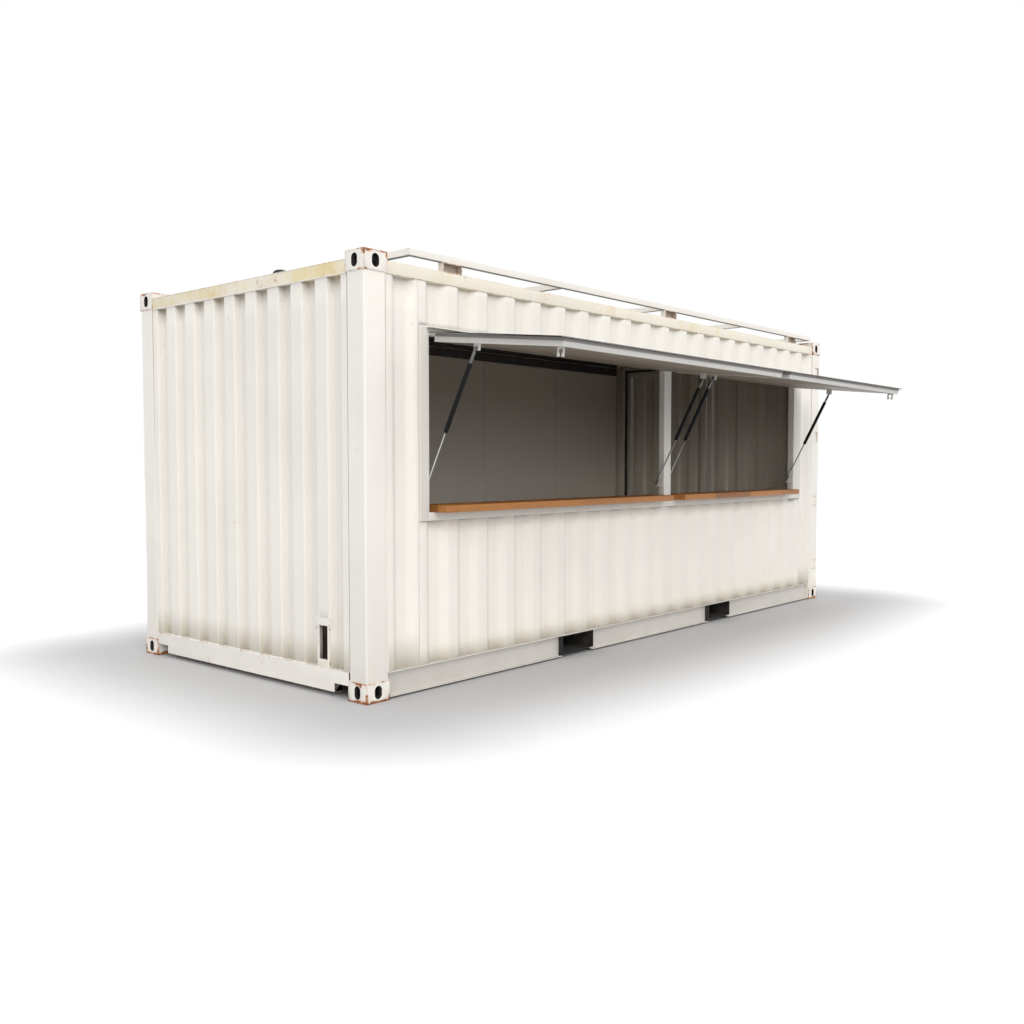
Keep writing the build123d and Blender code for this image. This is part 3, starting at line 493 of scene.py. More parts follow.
def bake(piece):
    """Turn a piece with modifiers into a plain mesh."""
    graph = bpy.context.evaluated_depsgraph_get()
    made = bpy.data.meshes.new_from_object(piece.evaluated_get(graph))
    old = piece.data
    piece.modifiers.clear()
    piece.data = made
    bpy.data.meshes.remove(old)
    if not made.polygons:
        raise RuntimeError(f"{piece.name} came out empty")
    return piece


def hand_over(piece, body, slot, *nodes):
    """Give a finished piece to its body, and hide the nodes that it stands for. The slot is not used."""
    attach(piece, body)
    if nodes:
        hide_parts(*nodes)


def stand_in(piece, node):
    """Put a finished piece in place of a node."""
    hand_over(piece, frame["nodes"][node]["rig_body"], node_slots[node], node)


def plain_mesh(name, shape, materials=()):
    """A mesh from a finished shape, with its materials."""
    mesh = bpy.data.meshes.new(name)
    shape.to_mesh(mesh)
    shape.free()
    for material in materials:
        mesh.materials.append(finish(material))
    return mesh


def shape_piece(name, shape, *materials, width=0.0, place=None):
    """A piece from a finished shape, moved to its place, with edges rounded by a width."""
    bmesh.ops.recalc_face_normals(shape, faces=shape.faces)
    mesh = plain_mesh(name, shape, materials)
    if place:
        mesh.transform(place)
    piece = new_piece(name, mesh)
    return soften(piece, width) if width else piece


def soften(piece, width, edge_slot=-1, steps=2):
    """Round a piece's sharp edges, with flat faces left flat."""
    piece.data.shade_smooth()
    rounding = piece.modifiers.new("rounding", "BEVEL")
    rounding.limit_method = "ANGLE"
    rounding.angle_limit = math.radians(35)
    rounding.width = width
    rounding.segments = steps
    rounding.harden_normals = True
    rounding.use_clamp_overlap = True
    rounding.material = edge_slot
    return bake(piece)


def block(shape, low, high, index=0):
    """A box between two corners in a shape."""
    corners = bmesh.ops.create_cube(shape, size=1)["verts"]
    for corner in corners:
        corner.co = [low[i] + (corner.co[i] + 0.5) * (high[i] - low[i]) for i in range(3)]
    for face in {face for corner in corners for face in corner.link_faces}:
        face.material_index = index


def turned(shape, profile, matrix, steps=20):
    """A turned form in a shape: points (distance along the axis, radius, material number) round local Z."""
    angles = [2 * math.pi * step / steps for step in range(steps)]
    rings = []
    for along, radius, _ in profile:
        places = [Vector((radius * math.cos(a), radius * math.sin(a), along)) for a in angles]
        rings.append([shape.verts.new(matrix @ place) for place in places])
    for first, second, (_, _, index) in zip(rings, rings[1:], profile[1:]):
        for step in range(steps):
            after = (step + 1) % steps
            face = shape.faces.new((first[step], first[after], second[after], second[step]))
            face.material_index = index
            face.smooth = True
    shape.faces.new(reversed(rings[0])).material_index = profile[0][2]
    shape.faces.new(rings[-1]).material_index = profile[-1][2]


def joined(name, meshes):
    """Several meshes with the same materials as one."""
    shape = bmesh.new()
    for mesh in meshes:
        shape.from_mesh(mesh)
    whole = plain_mesh(name, shape)
    for material in meshes[0].materials:
        whole.materials.append(material)
    for mesh in meshes:
        bpy.data.meshes.remove(mesh)
    return whole


def within(low, high):
    """A test for faces that lie inside a shell, with the corners of the container laid on one another."""
    def test(centre, normal):
        centre = Vector((math.copysign(centre.x, low.x), math.copysign(centre.y, high.y), centre.z))
        return min(min(centre[i] - low[i], high[i] - centre[i]) for i in range(3)) > INSIDE_DEPTH
    return test


def inward(centre, normal):
    """Whether a face of the frame or a door looks into the container."""
    along = abs(centre.x) > END_INNER and normal.x * centre.x < -0.1 * abs(centre.x)
    return along or (abs(centre.y) > SIDE_INNER and normal.y * centre.y < -0.5 * abs(centre.y))


def downward(centre, normal):
    """Whether a face looks down."""
    return normal.z < -0.7


def dress(node, paint_name, width, edge_name=None, steps=2, other=None, where=None):
    """Put a painted copy with rounded edges in a node's place. Faces that pass a test get another finish."""
    shape = bmesh.new()
    shape.from_mesh(frame["nodes"][node].data)
    bmesh.ops.remove_doubles(shape, verts=shape.verts, dist=0.00002)
    bmesh.ops.dissolve_limit(shape, angle_limit=math.radians(0.4), verts=shape.verts, edges=shape.edges)
    shape.normal_update()
    names = [name for name in (paint_name, edge_name, other) if name]
    for face in shape.faces:
        picked = other and where(face.calc_center_median(), face.normal)
        face.material_index = len(names) - 1 if picked else 0
    piece = new_piece(f"{node}_finish", plain_mesh(f"{node}_finish", shape, names))
    stand_in(soften(piece, width, 1 if edge_name else -1, steps), node)


def coat(node, paint_name):
    """Paint a node that stays as it is."""
    materials = frame["nodes"][node].data.materials
    materials.clear()
    materials.append(finish(paint_name))


# Geometry node groups
def node_group(name, inputs):
    """A new node group, and its named inputs as wires."""
    tree = bpy.data.node_groups.new(name, "GeometryNodeTree")
    for label, kind in inputs.items():
        tree.interface.new_socket(label, in_out="INPUT", socket_type=f"NodeSocket{kind}")
    tree.interface.new_socket("Geometry", in_out="OUTPUT", socket_type="NodeSocketGeometry")
    given = tree.nodes.new("NodeGroupInput").outputs
    return tree, {label: Wire(tree, given[label]) for label in inputs}


def finish_group(geometry, materials):
    """End a group: whole meshes, then each material on its faces. Gives the group."""
    tree = geometry.tree
    geometry = follow("GeometryNodeRealizeInstances", {0: geometry})
    for material, chosen in materials:
        inputs = {"Geometry": geometry, "Material": material}
        if chosen:
            inputs["Selection"] = chosen
        geometry = follow("GeometryNodeSetMaterial", inputs)
    tree.links.new(geometry.socket, tree.nodes.new("NodeGroupOutput").inputs[0])
    return tree


def together(*parts):
    """Several geometries as one."""
    tree = parts[0].tree
    node = add(tree, "GeometryNodeJoinGeometry")
    for part in parts:
        tree.links.new(part.socket, node.inputs[0])
    return Wire(tree, node.outputs[0])


def ripple(tree, seed, scale, detail):
    """The place of each point, and a seeded cloudy value there."""
    place = wire(tree, "GeometryNodeInputPosition")
    inputs = {"Vector": place, "W": seed, "Scale": scale, "Detail": detail}
    return place, follow("ShaderNodeTexNoise", inputs, noise_dimensions="4D")


def sheet_group(name):
    """A corrugated sheet: waves along X that rise along Z, soft dents, real thickness, two materials."""
    labels = ("Length", "Height", "Start", "Pitch", "Depth", "Flat", "Slope", "Thickness", "Dent", "Fade",
              "Seed")
    inputs = dict.fromkeys(labels, "Float")
    inputs |= {"Columns": "Int", "Rows": "Int", "Outer": "Material", "Inner": "Material"}
    tree, given = node_group(name, inputs)
    grid = follow("GeometryNodeMeshGrid", {"Size X": given["Length"], "Size Y": given["Height"],
                                           "Vertices X": given["Columns"], "Vertices Y": given["Rows"]})
    place, cloud = ripple(tree, given["Seed"], 2.1, 1.5)
    along, up, _ = axes(place)
    turn = maths("FRACT", (along + given["Length"] * 0.5 + given["Start"]) / given["Pitch"])
    half = given["Flat"] * 0.5
    level = ramp(0.5 - abs(turn - 0.5), half, half + given["Slope"])
    level = level * ramp(given["Height"] * 0.5 - abs(up), -0.0005, given["Fade"])
    rise = level * given["Depth"] + (cloud - 0.5) * given["Dent"]
    offset = follow("ShaderNodeCombineXYZ", {2: rise})
    bent = follow("GeometryNodeSetPosition", {"Geometry": grid, "Offset": offset})
    inputs = {"Mesh": bent, "Offset Scale": given["Thickness"], "Individual": False}
    thick = add(tree, "GeometryNodeExtrudeMesh", inputs, mode="FACES").outputs
    both = together(follow("GeometryNodeFlipFaces", {0: bent}), Wire(tree, thick["Mesh"]))
    closed = follow("GeometryNodeMergeByDistance", {"Geometry": both, "Distance": 0.00001})
    smooth = follow("GeometryNodeSetShadeSmooth", {"Geometry": closed})
    return finish_group(smooth, ((given["Outer"], None), (given["Inner"], Wire(tree, thick["Top"]))))


def bolt_group(name):
    """A row of bolt heads with washers."""
    _, given = node_group(name, {"Start": "Vector", "Step": "Vector", "Turn": "Rotation", "Count": "Int",
                                 "Sides": "Int", "Radius": "Float", "Material": "Material"})
    row = follow("GeometryNodeMeshLine", {"Count": given["Count"], "Start Location": given["Start"],
                                          "Offset": given["Step"]})
    radius = given["Radius"]
    head = follow("GeometryNodeMeshCylinder", {"Vertices": given["Sides"], "Radius": radius,
                                               "Depth": radius * 1.1})
    plate = follow("GeometryNodeMeshCylinder", {"Vertices": 14, "Radius": radius * 1.6,
                                                "Depth": radius * 0.4})
    row = follow("GeometryNodeInstanceOnPoints", {"Points": row, "Instance": together(head, plate),
                                                  "Rotation": given["Turn"]})
    return finish_group(row, ((given["Material"], None),))


def weld_group(name):
    """An uneven weld bead from one point to another."""
    tree, given = node_group(name, {"Start": "Vector", "End": "Vector", "Radius": "Float", "Seed": "Float",
                                    "Material": "Material"})
    line = follow("GeometryNodeCurvePrimitiveLine", {"Start": given["Start"], "End": given["End"]})
    line = follow("GeometryNodeResampleCurve", {"Curve": line, "Length": 0.012}, mode="LENGTH")
    width = (ripple(tree, given["Seed"], 60.0, 2.0)[1] + 0.5) * given["Radius"]
    ring = wire(tree, "GeometryNodeCurvePrimitiveCircle", {"Resolution": 7, "Radius": 1.0})
    bead = follow("GeometryNodeCurveToMesh", {"Curve": line, "Profile Curve": ring, "Scale": width,
                                              "Fill Caps": True})
    return finish_group(bead, ((given["Material"], None),))


group_makers = {"Corrugated sheet": sheet_group, "Bolt row": bolt_group, "Weld bead": weld_group}


def grow(name, group, values):
    """A plain mesh from the node group of that name, which is made when it is first asked for."""
    tree = bpy.data.node_groups.get(group) or group_makers[group](group)
    piece = new_piece(name, bpy.data.meshes.new(name))
    modifier = piece.modifiers.new(name, "NODES")
    modifier.node_group = tree
    sockets = {item.name: item.identifier for item in tree.interface.items_tree if item.in_out == "INPUT"}
    for label, value in values.items():
        modifier[sockets[label]] = value
    mesh = bake(piece).data
    bpy.data.objects.remove(piece)
    return mesh


def bolts(name, rows, material, radius, body=ROOT, sides=10):
    """A piece of bolt rows, each (start, step, count, axis that the heads point along)."""
    meshes = []
    for start, step, count, axis in rows:
        turn = Vector(axis).to_track_quat("Z", "Y").to_euler()
        meshes.append(grow(name, "Bolt row", {
            "Start": Vector(start), "Step": Vector(step), "Count": count, "Turn": turn, "Radius": radius,
            "Sides": sides, "Material": finish(material)}))
    hand_over(new_piece(name, joined(name, meshes)), body, ZINC)


def welds(name, lines, material, radius):
    """A piece of weld beads, each (start, end)."""
    meshes = [grow(name, "Weld bead", {"Start": Vector(start), "End": Vector(end), "Radius": radius,
                                       "Seed": float(seed), "Material": finish(material)})
              for seed, (start, end) in enumerate(lines)]
    hand_over(new_piece(name, joined(name, meshes)), ROOT, WHITE)


# Corrugated sheets by kind: waves, depth, the shares of a pitch that are outer flat and one slope,
# and the spacing of points
sheet_kinds = {
    "end": (9, 0.0456, 0.44, 0.072, 0.0026),
    "side": (21, 0.036, 0.26, 0.244, 0.0085),
    "roof": (27, 0.020, 0.44, 0.065, 0.0046),
}
# Where a sheet's own axes point, and the axis and corner (0 low, 1 high) of its box that it starts from
sheet_frames = {
    "end": (Matrix(((0, 0, 1), (1, 0, 0), (0, 1, 0))).to_4x4(), 0, 0),
    "service": (Matrix(((-1, 0, 0), (0, 0, 1), (0, 1, 0))).to_4x4(), 1, 0),
    "back": (Matrix(((1, 0, 0), (0, 0, -1), (0, 1, 0))).to_4x4(), 1, 1),
    "roof": (Matrix.Identity(4), 2, 0),
}


# A sheet's inner face gets the inner paint by default: painted shade, with painted light lower down
def corrugated(name, kind, facing, box, limits, rows, outer="wall paint", inner="inner paint", seed=0.0,
               fade=0.0):
    """A corrugated sheet that fills a box, with waves counted between two limits."""
    sizes = bpy.context.scene.bar_sizes
    waves, depth, flat_share, slope_share, spacing = sheet_kinds[kind]
    low, high = box
    axis = 1 if facing == "end" else 0
    rise = 1 if facing == "roof" else 2
    run = high[axis] - low[axis]
    mesh = grow(name, "Corrugated sheet", {
        "Length": run, "Height": high[rise] - low[rise], "Pitch": (limits[1] - limits[0]) / waves,
        "Start": limits[1] - high[axis] if facing == "service" else low[axis] - limits[0], "Depth": depth,
        "Flat": flat_share, "Slope": slope_share, "Thickness": sizes.sheet, "Dent": sizes.wall_dent,
        "Seed": seed, "Fade": fade, "Columns": max(8, round(run / spacing)), "Rows": rows,
        "Outer": finish(outer), "Inner": finish(inner)})
    turn, back, corner = sheet_frames[facing]
    centre = (low + high) / 2
    centre[back] = box[corner][back]
    mesh.transform(Matrix.Translation(centre) @ turn)
    return mesh


def cut_box(piece, low, high):
    """Cut a box out of a piece."""
    shape = bmesh.new()
    block(shape, low, high)
    cutter = shape_piece("cutter", shape)
    piece.modifiers.new("cut", "BOOLEAN").object = cutter
    bake(piece)
    bpy.data.objects.remove(cutter)


class BAR_OT_walls(bpy.types.Operator):
    """Make the corrugated walls of the two sides and the blind end"""

    bl_idname = "bar.walls"
    bl_label = "Walls"

    def execute(self, context):
        across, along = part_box("end_wall"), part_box("back_wall")
        limits_y, limits_x = (across[0].y, across[1].y), (along[0].x, along[1].x)
        mesh = corrugated("end_wall_sheet", "end", "end", across, limits_y, 14, seed=1.0)
        piece = new_piece("end_wall_sheet", mesh)
        middle = limits_y[0] + (limits_y[1] - limits_y[0]) / sheet_kinds["end"][0]
        slot_half, slot_base, slot_top, past = 0.038, 0.215, 0.424, 0.02
        cut_box(piece, (across[0].x - past, middle - slot_half, slot_base),
                (across[1].x + past, middle + slot_half, slot_top))
        stand_in(piece, "end_wall")
        sheets = (("back_wall", "back", 12), ("service_wall_below", "service", 9),
                  ("service_wall_above", "service", 9))
        for seed, (node, facing, rows) in enumerate(sheets, 2):
            mesh = corrugated(f"{node}_sheet", "side", facing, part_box(node), limits_x, rows, seed=float(seed))
            stand_in(new_piece(f"{node}_sheet", mesh), node)
        low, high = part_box("service_wall_ends")
        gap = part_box("service_wall_below")
        ends = ((low, Vector((gap[0].x, high.y, high.z))), (Vector((gap[1].x, low.y, low.z)), high))
        meshes = [corrugated("end", "side", "service", pair, limits_x, 12, seed=5.0) for pair in ends]
        name = "service_wall_ends_sheet"
        stand_in(new_piece(name, joined(name, meshes)), "service_wall_ends")
        return {"FINISHED"}


class BAR_OT_roof(bpy.types.Operator):
    """Make the roof sheet, its end plates and the vent cap"""

    bl_idname = "bar.roof"
    bl_label = "Roof"

    def execute(self, context):
        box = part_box("roof_panel")
        mesh = corrugated("roof_sheet", "roof", "roof", box, (box[0].x, box[1].x), 30, outer="inner paint",
                          inner="roof paint", seed=7.0, fade=0.07)
        stand_in(new_piece("roof_sheet", mesh), "roof_panel")
        dress("roof_end_plates", "roof paint", 0.0012)
        dress("roof_vent", "rubber", 0.002)
        return {"FINISHED"}


class BAR_OT_frame(bpy.types.Operator):
    """Paint the castings, posts, rails and sills, with rounded and rusty edges and painted shade in hollows and
    on faces that look inside, darken the bottom rails as painted shade, and add weld beads, those on the sill
    with a painted highlight
    """

    bl_idname = "bar.frame"
    bl_label = "Steel frame"

    def execute(self, context):
        sizes = context.scene.bar_sizes
        edge = sizes.edge_round
        sill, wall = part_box("end_sill"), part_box("end_wall")
        ends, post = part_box("service_wall_ends"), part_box("blind_end_posts")
        rail_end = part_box("service_bottom_rail")[1].x
        # The castings' hollows are painted black as painted shade
        for node in ("bottom_corner_castings", "top_corner_castings"):
            low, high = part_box(node)
            dress(node, "casting paint", sizes.casting_round, steps=3, other="pocket black",
                  where=within(Vector((rail_end, sill[1].y, low.z)), high))
        # Post faces that look inside get the inner paint as painted shade
        for node in ("blind_end_posts", "door_end_posts"):
            dress(node, "frame paint", edge / 2, other="inner paint", where=inward)
        # The end sill's hollow is painted black as painted shade
        dress("end_sill", "frame paint", edge, "frame edge", other="pocket black",
              where=within(Vector((sill[0].x, -sill[1].y, sill[0].z)), sill[1]))
        # The bottom rails get paint darkened as painted shade
        for node in ("service_bottom_rail", "back_bottom_rail"):
            dress(node, "low rail paint", edge, "soft edge")
        # Faces of the door sill and header that look inside get the inner paint as painted shade
        for node in ("door_sill", "door_header"):
            dress(node, "frame paint", edge, "soft edge", other="inner paint", where=inward)
        # Faces of the top rails that look inside are painted black as painted shade
        for node, finish_name in (("service_top_rail", "rail paint"), ("back_top_rail", "rail paint"),
                                  ("end_top_rail", "end rail paint")):
            dress(node, finish_name, edge, "rail edge", other="pocket black", where=inward)
        for part in ("blind_end", "middle", "door_end"):
            coat(f"cross_members_{part}", "frame paint")
        # The fork pockets are coated black as painted shade
        coat("fork_pockets", "pocket black")
        # Weld dashes along the end sill, in brighter paint as a painted highlight
        waves = sheet_kinds["end"][0]
        pitch = (wall[1].y - wall[0].y) / waves
        sunk, side_sunk, half_dash, casting_run = 0.004, 0.003, pitch * 0.26, 0.15
        x = wall[0].x + sunk
        middles = [wall[0].y + number * pitch for number in range(1, waves)]
        dashes = [((x, y - half_dash, sill[1].z), (x, y + half_dash, sill[1].z)) for y in middles]
        welds("sill_welds", dashes, "weld paint", sizes.weld_radius * 1.5)
        lines = [((wall[0].x, sill[0].y, wall[1].z), (wall[0].x, sill[1].y, wall[1].z))]
        for x in (ends[0].x, ends[1].x):
            for y in (ends[0].y + side_sunk, -ends[0].y - side_sunk):
                lines.append(((x, y, ends[0].z), (x, y, ends[1].z)))
        x = post[0].x + sunk
        for level in (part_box("bottom_corner_castings")[1].z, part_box("top_corner_castings")[0].z):
            for y in (post[0].y + sunk, post[1].y - sunk):
                lines.append(((x, y, level), (post[1].x, y, level)))
                lines.append(((x, y, level), (x, y - math.copysign(casting_run, y), level)))
        welds("weld_beads", lines, "frame paint", sizes.weld_radius)
        return {"FINISHED"}


class BAR_OT_floor(bpy.types.Operator):
    """Lay the plywood floor with its screws"""

    bl_idname = "bar.floor_boards"
    bl_label = "Floor"

    def execute(self, context):
        coat("floor", "floor plywood")
        low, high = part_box("floor")
        count, margin, row_step = 15, 0.2, 0.58
        step = (high.y - low.y - 2 * margin) / (count - 1)
        rows = [((x * row_step, low.y + margin, high.z), (0, step, 0), count, (0, 0, 1))
                for x in range(-4, 5)]
        bolts("floor_screws", rows, "zinc", 0.005)
        return {"FINISHED"}


class BAR_OT_lining(bpy.types.Operator):
    """Line the back wall with flat panels under a black band of painted shade along the top, and seal the cargo
    doors from inside
    """

    bl_idname = "bar.lining"
    bl_label = "Lining"

    def execute(self, context):
        floor_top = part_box("floor")[1].z
        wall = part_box("back_wall")
        face, thin, seam, count, margin, shade_band = wall[0].y - 0.006, 0.010, 0.004, 5, 0.02, 0.08
        step = (wall[1].x - wall[0].x - 2 * margin) / count
        shade_band_base = wall[1].z - shade_band
        shape = bmesh.new()
        for number in range(count):
            start = wall[0].x + margin + number * step
            block(shape, (start, face - thin, floor_top), (start + step - seam, face, shade_band_base - seam))
        # A black band of painted shade along the top of the back wall
        block(shape, (wall[0].x + margin, face - thin, shade_band_base), (wall[1].x - margin, face, wall[1].z), 1)
        hand_over(shape_piece("back_lining", shape, "inner paint", "pocket black", width=0.0015), ROOT, WHITE)
        post_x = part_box("door_end_posts")[0].x
        top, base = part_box("door_header")[0].z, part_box("door_sill")[1].z
        near, far, wide = post_x + 0.010, post_x + 0.023, 0.025
        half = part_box("end_sill")[1].y - 0.002
        shape = bmesh.new()
        block(shape, (near, -half, top - wide), (far, half, top))
        block(shape, (near, -half, base), (far, half, base + wide))
        for y in (-half, half - wide):
            block(shape, (near, y, base + wide), (far, y + wide, top - wide))
        hand_over(shape_piece("door_stop", shape, "rubber", width=0.002), ROOT, DARK)
        return {"FINISHED"}


class BAR_OT_hatch(bpy.types.Operator):
    """Paint the frame of the hatch opening, and add its hinge strip and screws"""

    bl_idname = "bar.hatch"
    bl_label = "Hatch opening"

    def execute(self, context):
        sizes = context.scene.bar_sizes
        for node in ("hatch_jambs", "hatch_head", "hatch_sill", "hatch_mullion"):
            dress(node, "hatch paint", sizes.edge_round, "soft edge")
        dress("hatch_hinges", "zinc", sizes.edge_round / 3)
        dress("strut_brackets", "hatch paint", sizes.edge_round / 3)
        head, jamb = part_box("hatch_head"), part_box("hatch_jambs")
        face = jamb[0].y
        strip_top, strip_base, thickness, margin = head[1].z - 0.013, head[0].z + 0.010, 0.003, 0.012
        shape = bmesh.new()
        block(shape, (head[0].x + margin, face - thickness, strip_base),
              (head[1].x - margin, face, strip_top))
        hand_over(shape_piece("hinge_strip", shape, "zinc", width=0.0008), ROOT, ZINC)
        side, end = 0.022, 0.025
        step = (0, 0, jamb[1].z - jamb[0].z - 2 * end)
        rows = [((x, face, jamb[0].z + end), step, 2, (0, -1, 0))
                for x in (jamb[0].x + side, jamb[1].x - side)]
        bolts("hatch_screws", rows, "hatch paint", sizes.screw_radius)
        return {"FINISHED"}


class BAR_OT_counter(bpy.types.Operator):
    """Make the counter boards with rounded edges and stave grain"""

    bl_idname = "bar.counter"
    bl_label = "Counter"

    def execute(self, context):
        for node in ("counter_left", "counter_right"):
            dress(node, "counter wood", context.scene.bar_sizes.board_round, steps=3)
        return {"FINISHED"}


def flap_frame(flap):
    """The plane of a flap: X along the hinge, Y out from it, Z down from the flap."""
    hinge = Vector(joints[f"{flap}_hinge"]["pos_m"])
    low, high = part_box(f"{flap}_skin")
    out = Vector((0, low.y - high.y, low.z - high.z)).normalized()
    place = Matrix((RIGHT, out, RIGHT.cross(out))).transposed().to_4x4()
    place.translation = (0, hinge.y, hinge.z)
    return place


class BAR_OT_flaps(bpy.types.Operator):
    """Paint the hatch flaps, and add their black edge strips, grey seals that also stand for the shade under
    the lips, and rivets
    """

    bl_idname = "bar.flaps"
    bl_label = "Hatch flaps"

    def execute(self, context):
        sizes = context.scene.bar_sizes
        count, side_margin, end_margin = 16, 0.15, 0.05
        for flap in FLAPS:
            # Downward faces of the flap frames get the dark lining colour as painted shade
            dress(f"{flap}_frame", "flap paint", sizes.edge_round, "soft edge", other="lining paint",
                  where=downward)
            dress(f"{flap}_skin", "flap paint", 0.0006)
            place = flap_frame(flap)
            local = place.inverted()
            skin = [local @ vertex.co for vertex in frame["nodes"][f"{flap}_skin"].data.vertices]
            low, high = (Vector([limit(point[i] for point in skin) for i in range(3)])
                         for limit in (min, max))
            top, base = low.z - sizes.trim_height * 0.4, low.z + sizes.trim_height * 0.6
            width, edge = sizes.trim_width, high.y - 0.0005
            shape = bmesh.new()
            block(shape, (low.x, edge - width, top), (high.x, edge, base))
            for x in (low.x, high.x - width):
                block(shape, (x, low.y, top), (x + width, edge - width, base))
            strip = shape_piece(f"{flap}_edge_strip", shape, "black paint", width=0.002, place=place)
            hand_over(strip, flap, DARK)
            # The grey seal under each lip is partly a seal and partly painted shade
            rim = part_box(f"{flap}_frame")
            inset, start, edge, thin = 0.001, 0.03, high.y - 0.020, sizes.seal_width
            left, right = rim[0].x + inset, rim[1].x - inset
            seal_top = base + sizes.seal_height
            shape = bmesh.new()
            block(shape, (left - thin, edge, base), (right + thin, edge + thin, seal_top))
            for x in (left - thin, right):
                block(shape, (x, start, base), (x + thin, edge, seal_top))
            hand_over(shape_piece(f"{flap}_seal", shape, "grey seal", width=0.001, place=place), flap, DARK)
            step = (high.x - low.x - 2 * side_margin) / (count - 1)
            up = -(place.to_3x3() @ Vector((0, 0, 1)))
            rows = [(place @ Vector((low.x + side_margin, y, low.z)), (step, 0, 0), count, up)
                    for y in (low.y + end_margin, high.y - end_margin)]
            bolts(f"{flap}_rivets", rows, "zinc", sizes.screw_radius * 0.8, flap)
        return {"FINISHED"}


class BAR_OT_struts(bpy.types.Operator):
    """Turn the gas struts: steel end fittings, black barrels, polished rods"""

    bl_idname = "bar.struts"
    bl_label = "Gas struts"

    def execute(self, context):
        sizes = context.scene.bar_sizes
        neck, wide, rod = sizes.strut_neck, sizes.strut_barrel, sizes.strut_rod
        ring, start = sizes.strut_eye, sizes.strut_neck_length
        bevel, round_off, groove, half = 0.0015, 0.004, 0.0012, 0.006
        disc = [(-half, ring - bevel, 0), (-half + bevel, ring, 0), (half - bevel, ring, 0),
                (half, ring - bevel, 0)]
        across = RIGHT.to_track_quat("Z", "Y").to_matrix().to_4x4()
        for strut in STRUTS:
            top = Vector(joints[f"{strut}_pivot"]["pos_m"])
            run = Vector(joints[f"{strut}_slide"]["axis"])
            reach = (top.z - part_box(f"{strut}_rod")[0].z - ring) / -run.z
            end = (top.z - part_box(f"{strut}_barrel")[0].z - wide * abs(run.y)) / -run.z
            place = Matrix.Translation(top) @ run.to_track_quat("Z", "Y").to_matrix().to_4x4()
            eye = Matrix.Translation(top) @ across
            shape = bmesh.new()
            turned(shape, [
                (0.004, neck * 0.7, 0), (0.020, neck * 0.7, 0), (0.024, neck, 0), (start - 0.034, neck, 0),
                (start - 0.030, neck * 1.12, 0), (start - 0.022, neck * 1.12, 0),
                (start - 0.018, neck * 0.9, 0), (start, neck * 0.9, 0), (start, wide - round_off, 1),
                (start + bevel, wide - bevel, 1), (start + round_off, wide, 1), (end - 0.030, wide, 1),
                (end - 0.027, wide - groove, 1), (end - 0.023, wide - groove, 1), (end - 0.020, wide, 1),
                (end - round_off, wide, 1), (end - bevel, wide - bevel, 1), (end, wide - round_off, 1),
                (end, rod + bevel, 2)], place)
            turned(shape, disc, eye, 18)
            name = f"{strut}_barrel"
            stand_in(shape_piece(f"{name}_finish", shape, "fitting steel", "black paint", "rubber"), name)
            shape = bmesh.new()
            turned(shape, [
                (end - 0.05, rod, 0), (reach - 0.046, rod, 0), (reach - 0.045, rod * 1.35, 1),
                (reach - 0.014, rod * 1.35, 1), (reach - 0.012, rod, 1), (reach - 0.004, rod, 1)], place)
            turned(shape, disc, Matrix.Translation(run * reach) @ eye, 18)
            name = f"{strut}_rod"
            stand_in(shape_piece(f"{name}_finish", shape, "rod steel", "fitting steel"), name)
        return {"FINISHED"}


class BAR_OT_doors(bpy.types.Operator):
    """Paint the cargo doors, lock bars and hinge lugs, and add gaskets and bolts"""

    bl_idname = "bar.doors"
    bl_label = "Cargo doors"

    def execute(self, context):
        sizes = context.scene.bar_sizes
        wide = sizes.gasket_width
        inner_y, outer_y, base, top = 0.006, 1.046, 0.195, 2.430
        guide_out, guide_half, hinge_out, hinge_half, hinge_in = 0.025, 0.027, 0.010, 0.025, 0.085
        dress("door_hinge_lugs", "frame paint", sizes.edge_round)
        for door in DOORS:
            # The faces of the door leaves that look inside get the inner paint as painted shade
            dress(f"{door}_leaf", "wall paint", sizes.edge_round, "soft edge", other="inner paint",
                  where=inward)
            dress(f"{door}_lock_bars", "zinc", sizes.edge_round)
            outer, bars_y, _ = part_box(f"{door}_lock_bars")[0]
            side = 1 if bars_y > 0 else -1
            left, right = sorted((side * inner_y, side * outer_y))
            shape = bmesh.new()
            for low, high in (((left, base), (right, base + wide)), ((left, top - wide), (right, top)),
                              ((left, base + wide), (left + wide, top - wide)),
                              ((right - wide, base + wide), (right, top - wide))):
                block(shape, (outer, *low), (outer + sizes.gasket_height, *high))
            hand_over(shape_piece(f"{door}_gasket", shape, "rubber", width=0.002), door, DARK)
            rows = []
            for share_y in (0.28, 0.72):
                bar_y = side * (inner_y + share_y * (outer_y - inner_y))
                for share_z in (0.06, 0.35, 0.65, 0.94):
                    start = (outer + guide_out, bar_y - guide_half, base + share_z * (top - base))
                    rows.append((start, (0, 2 * guide_half, 0), 2, RIGHT))
            for share_z in (0.07, 0.36, 0.65, 0.94):
                level = base + share_z * (top - base)
                start = (outer + hinge_out, side * (outer_y - hinge_in), level - hinge_half)
                rows.append((start, (0, 0, 2 * hinge_half), 2, RIGHT))
            bolts(f"{door}_bolts", rows, "zinc", sizes.bolt_radius, door, 6)
        return {"FINISHED"}


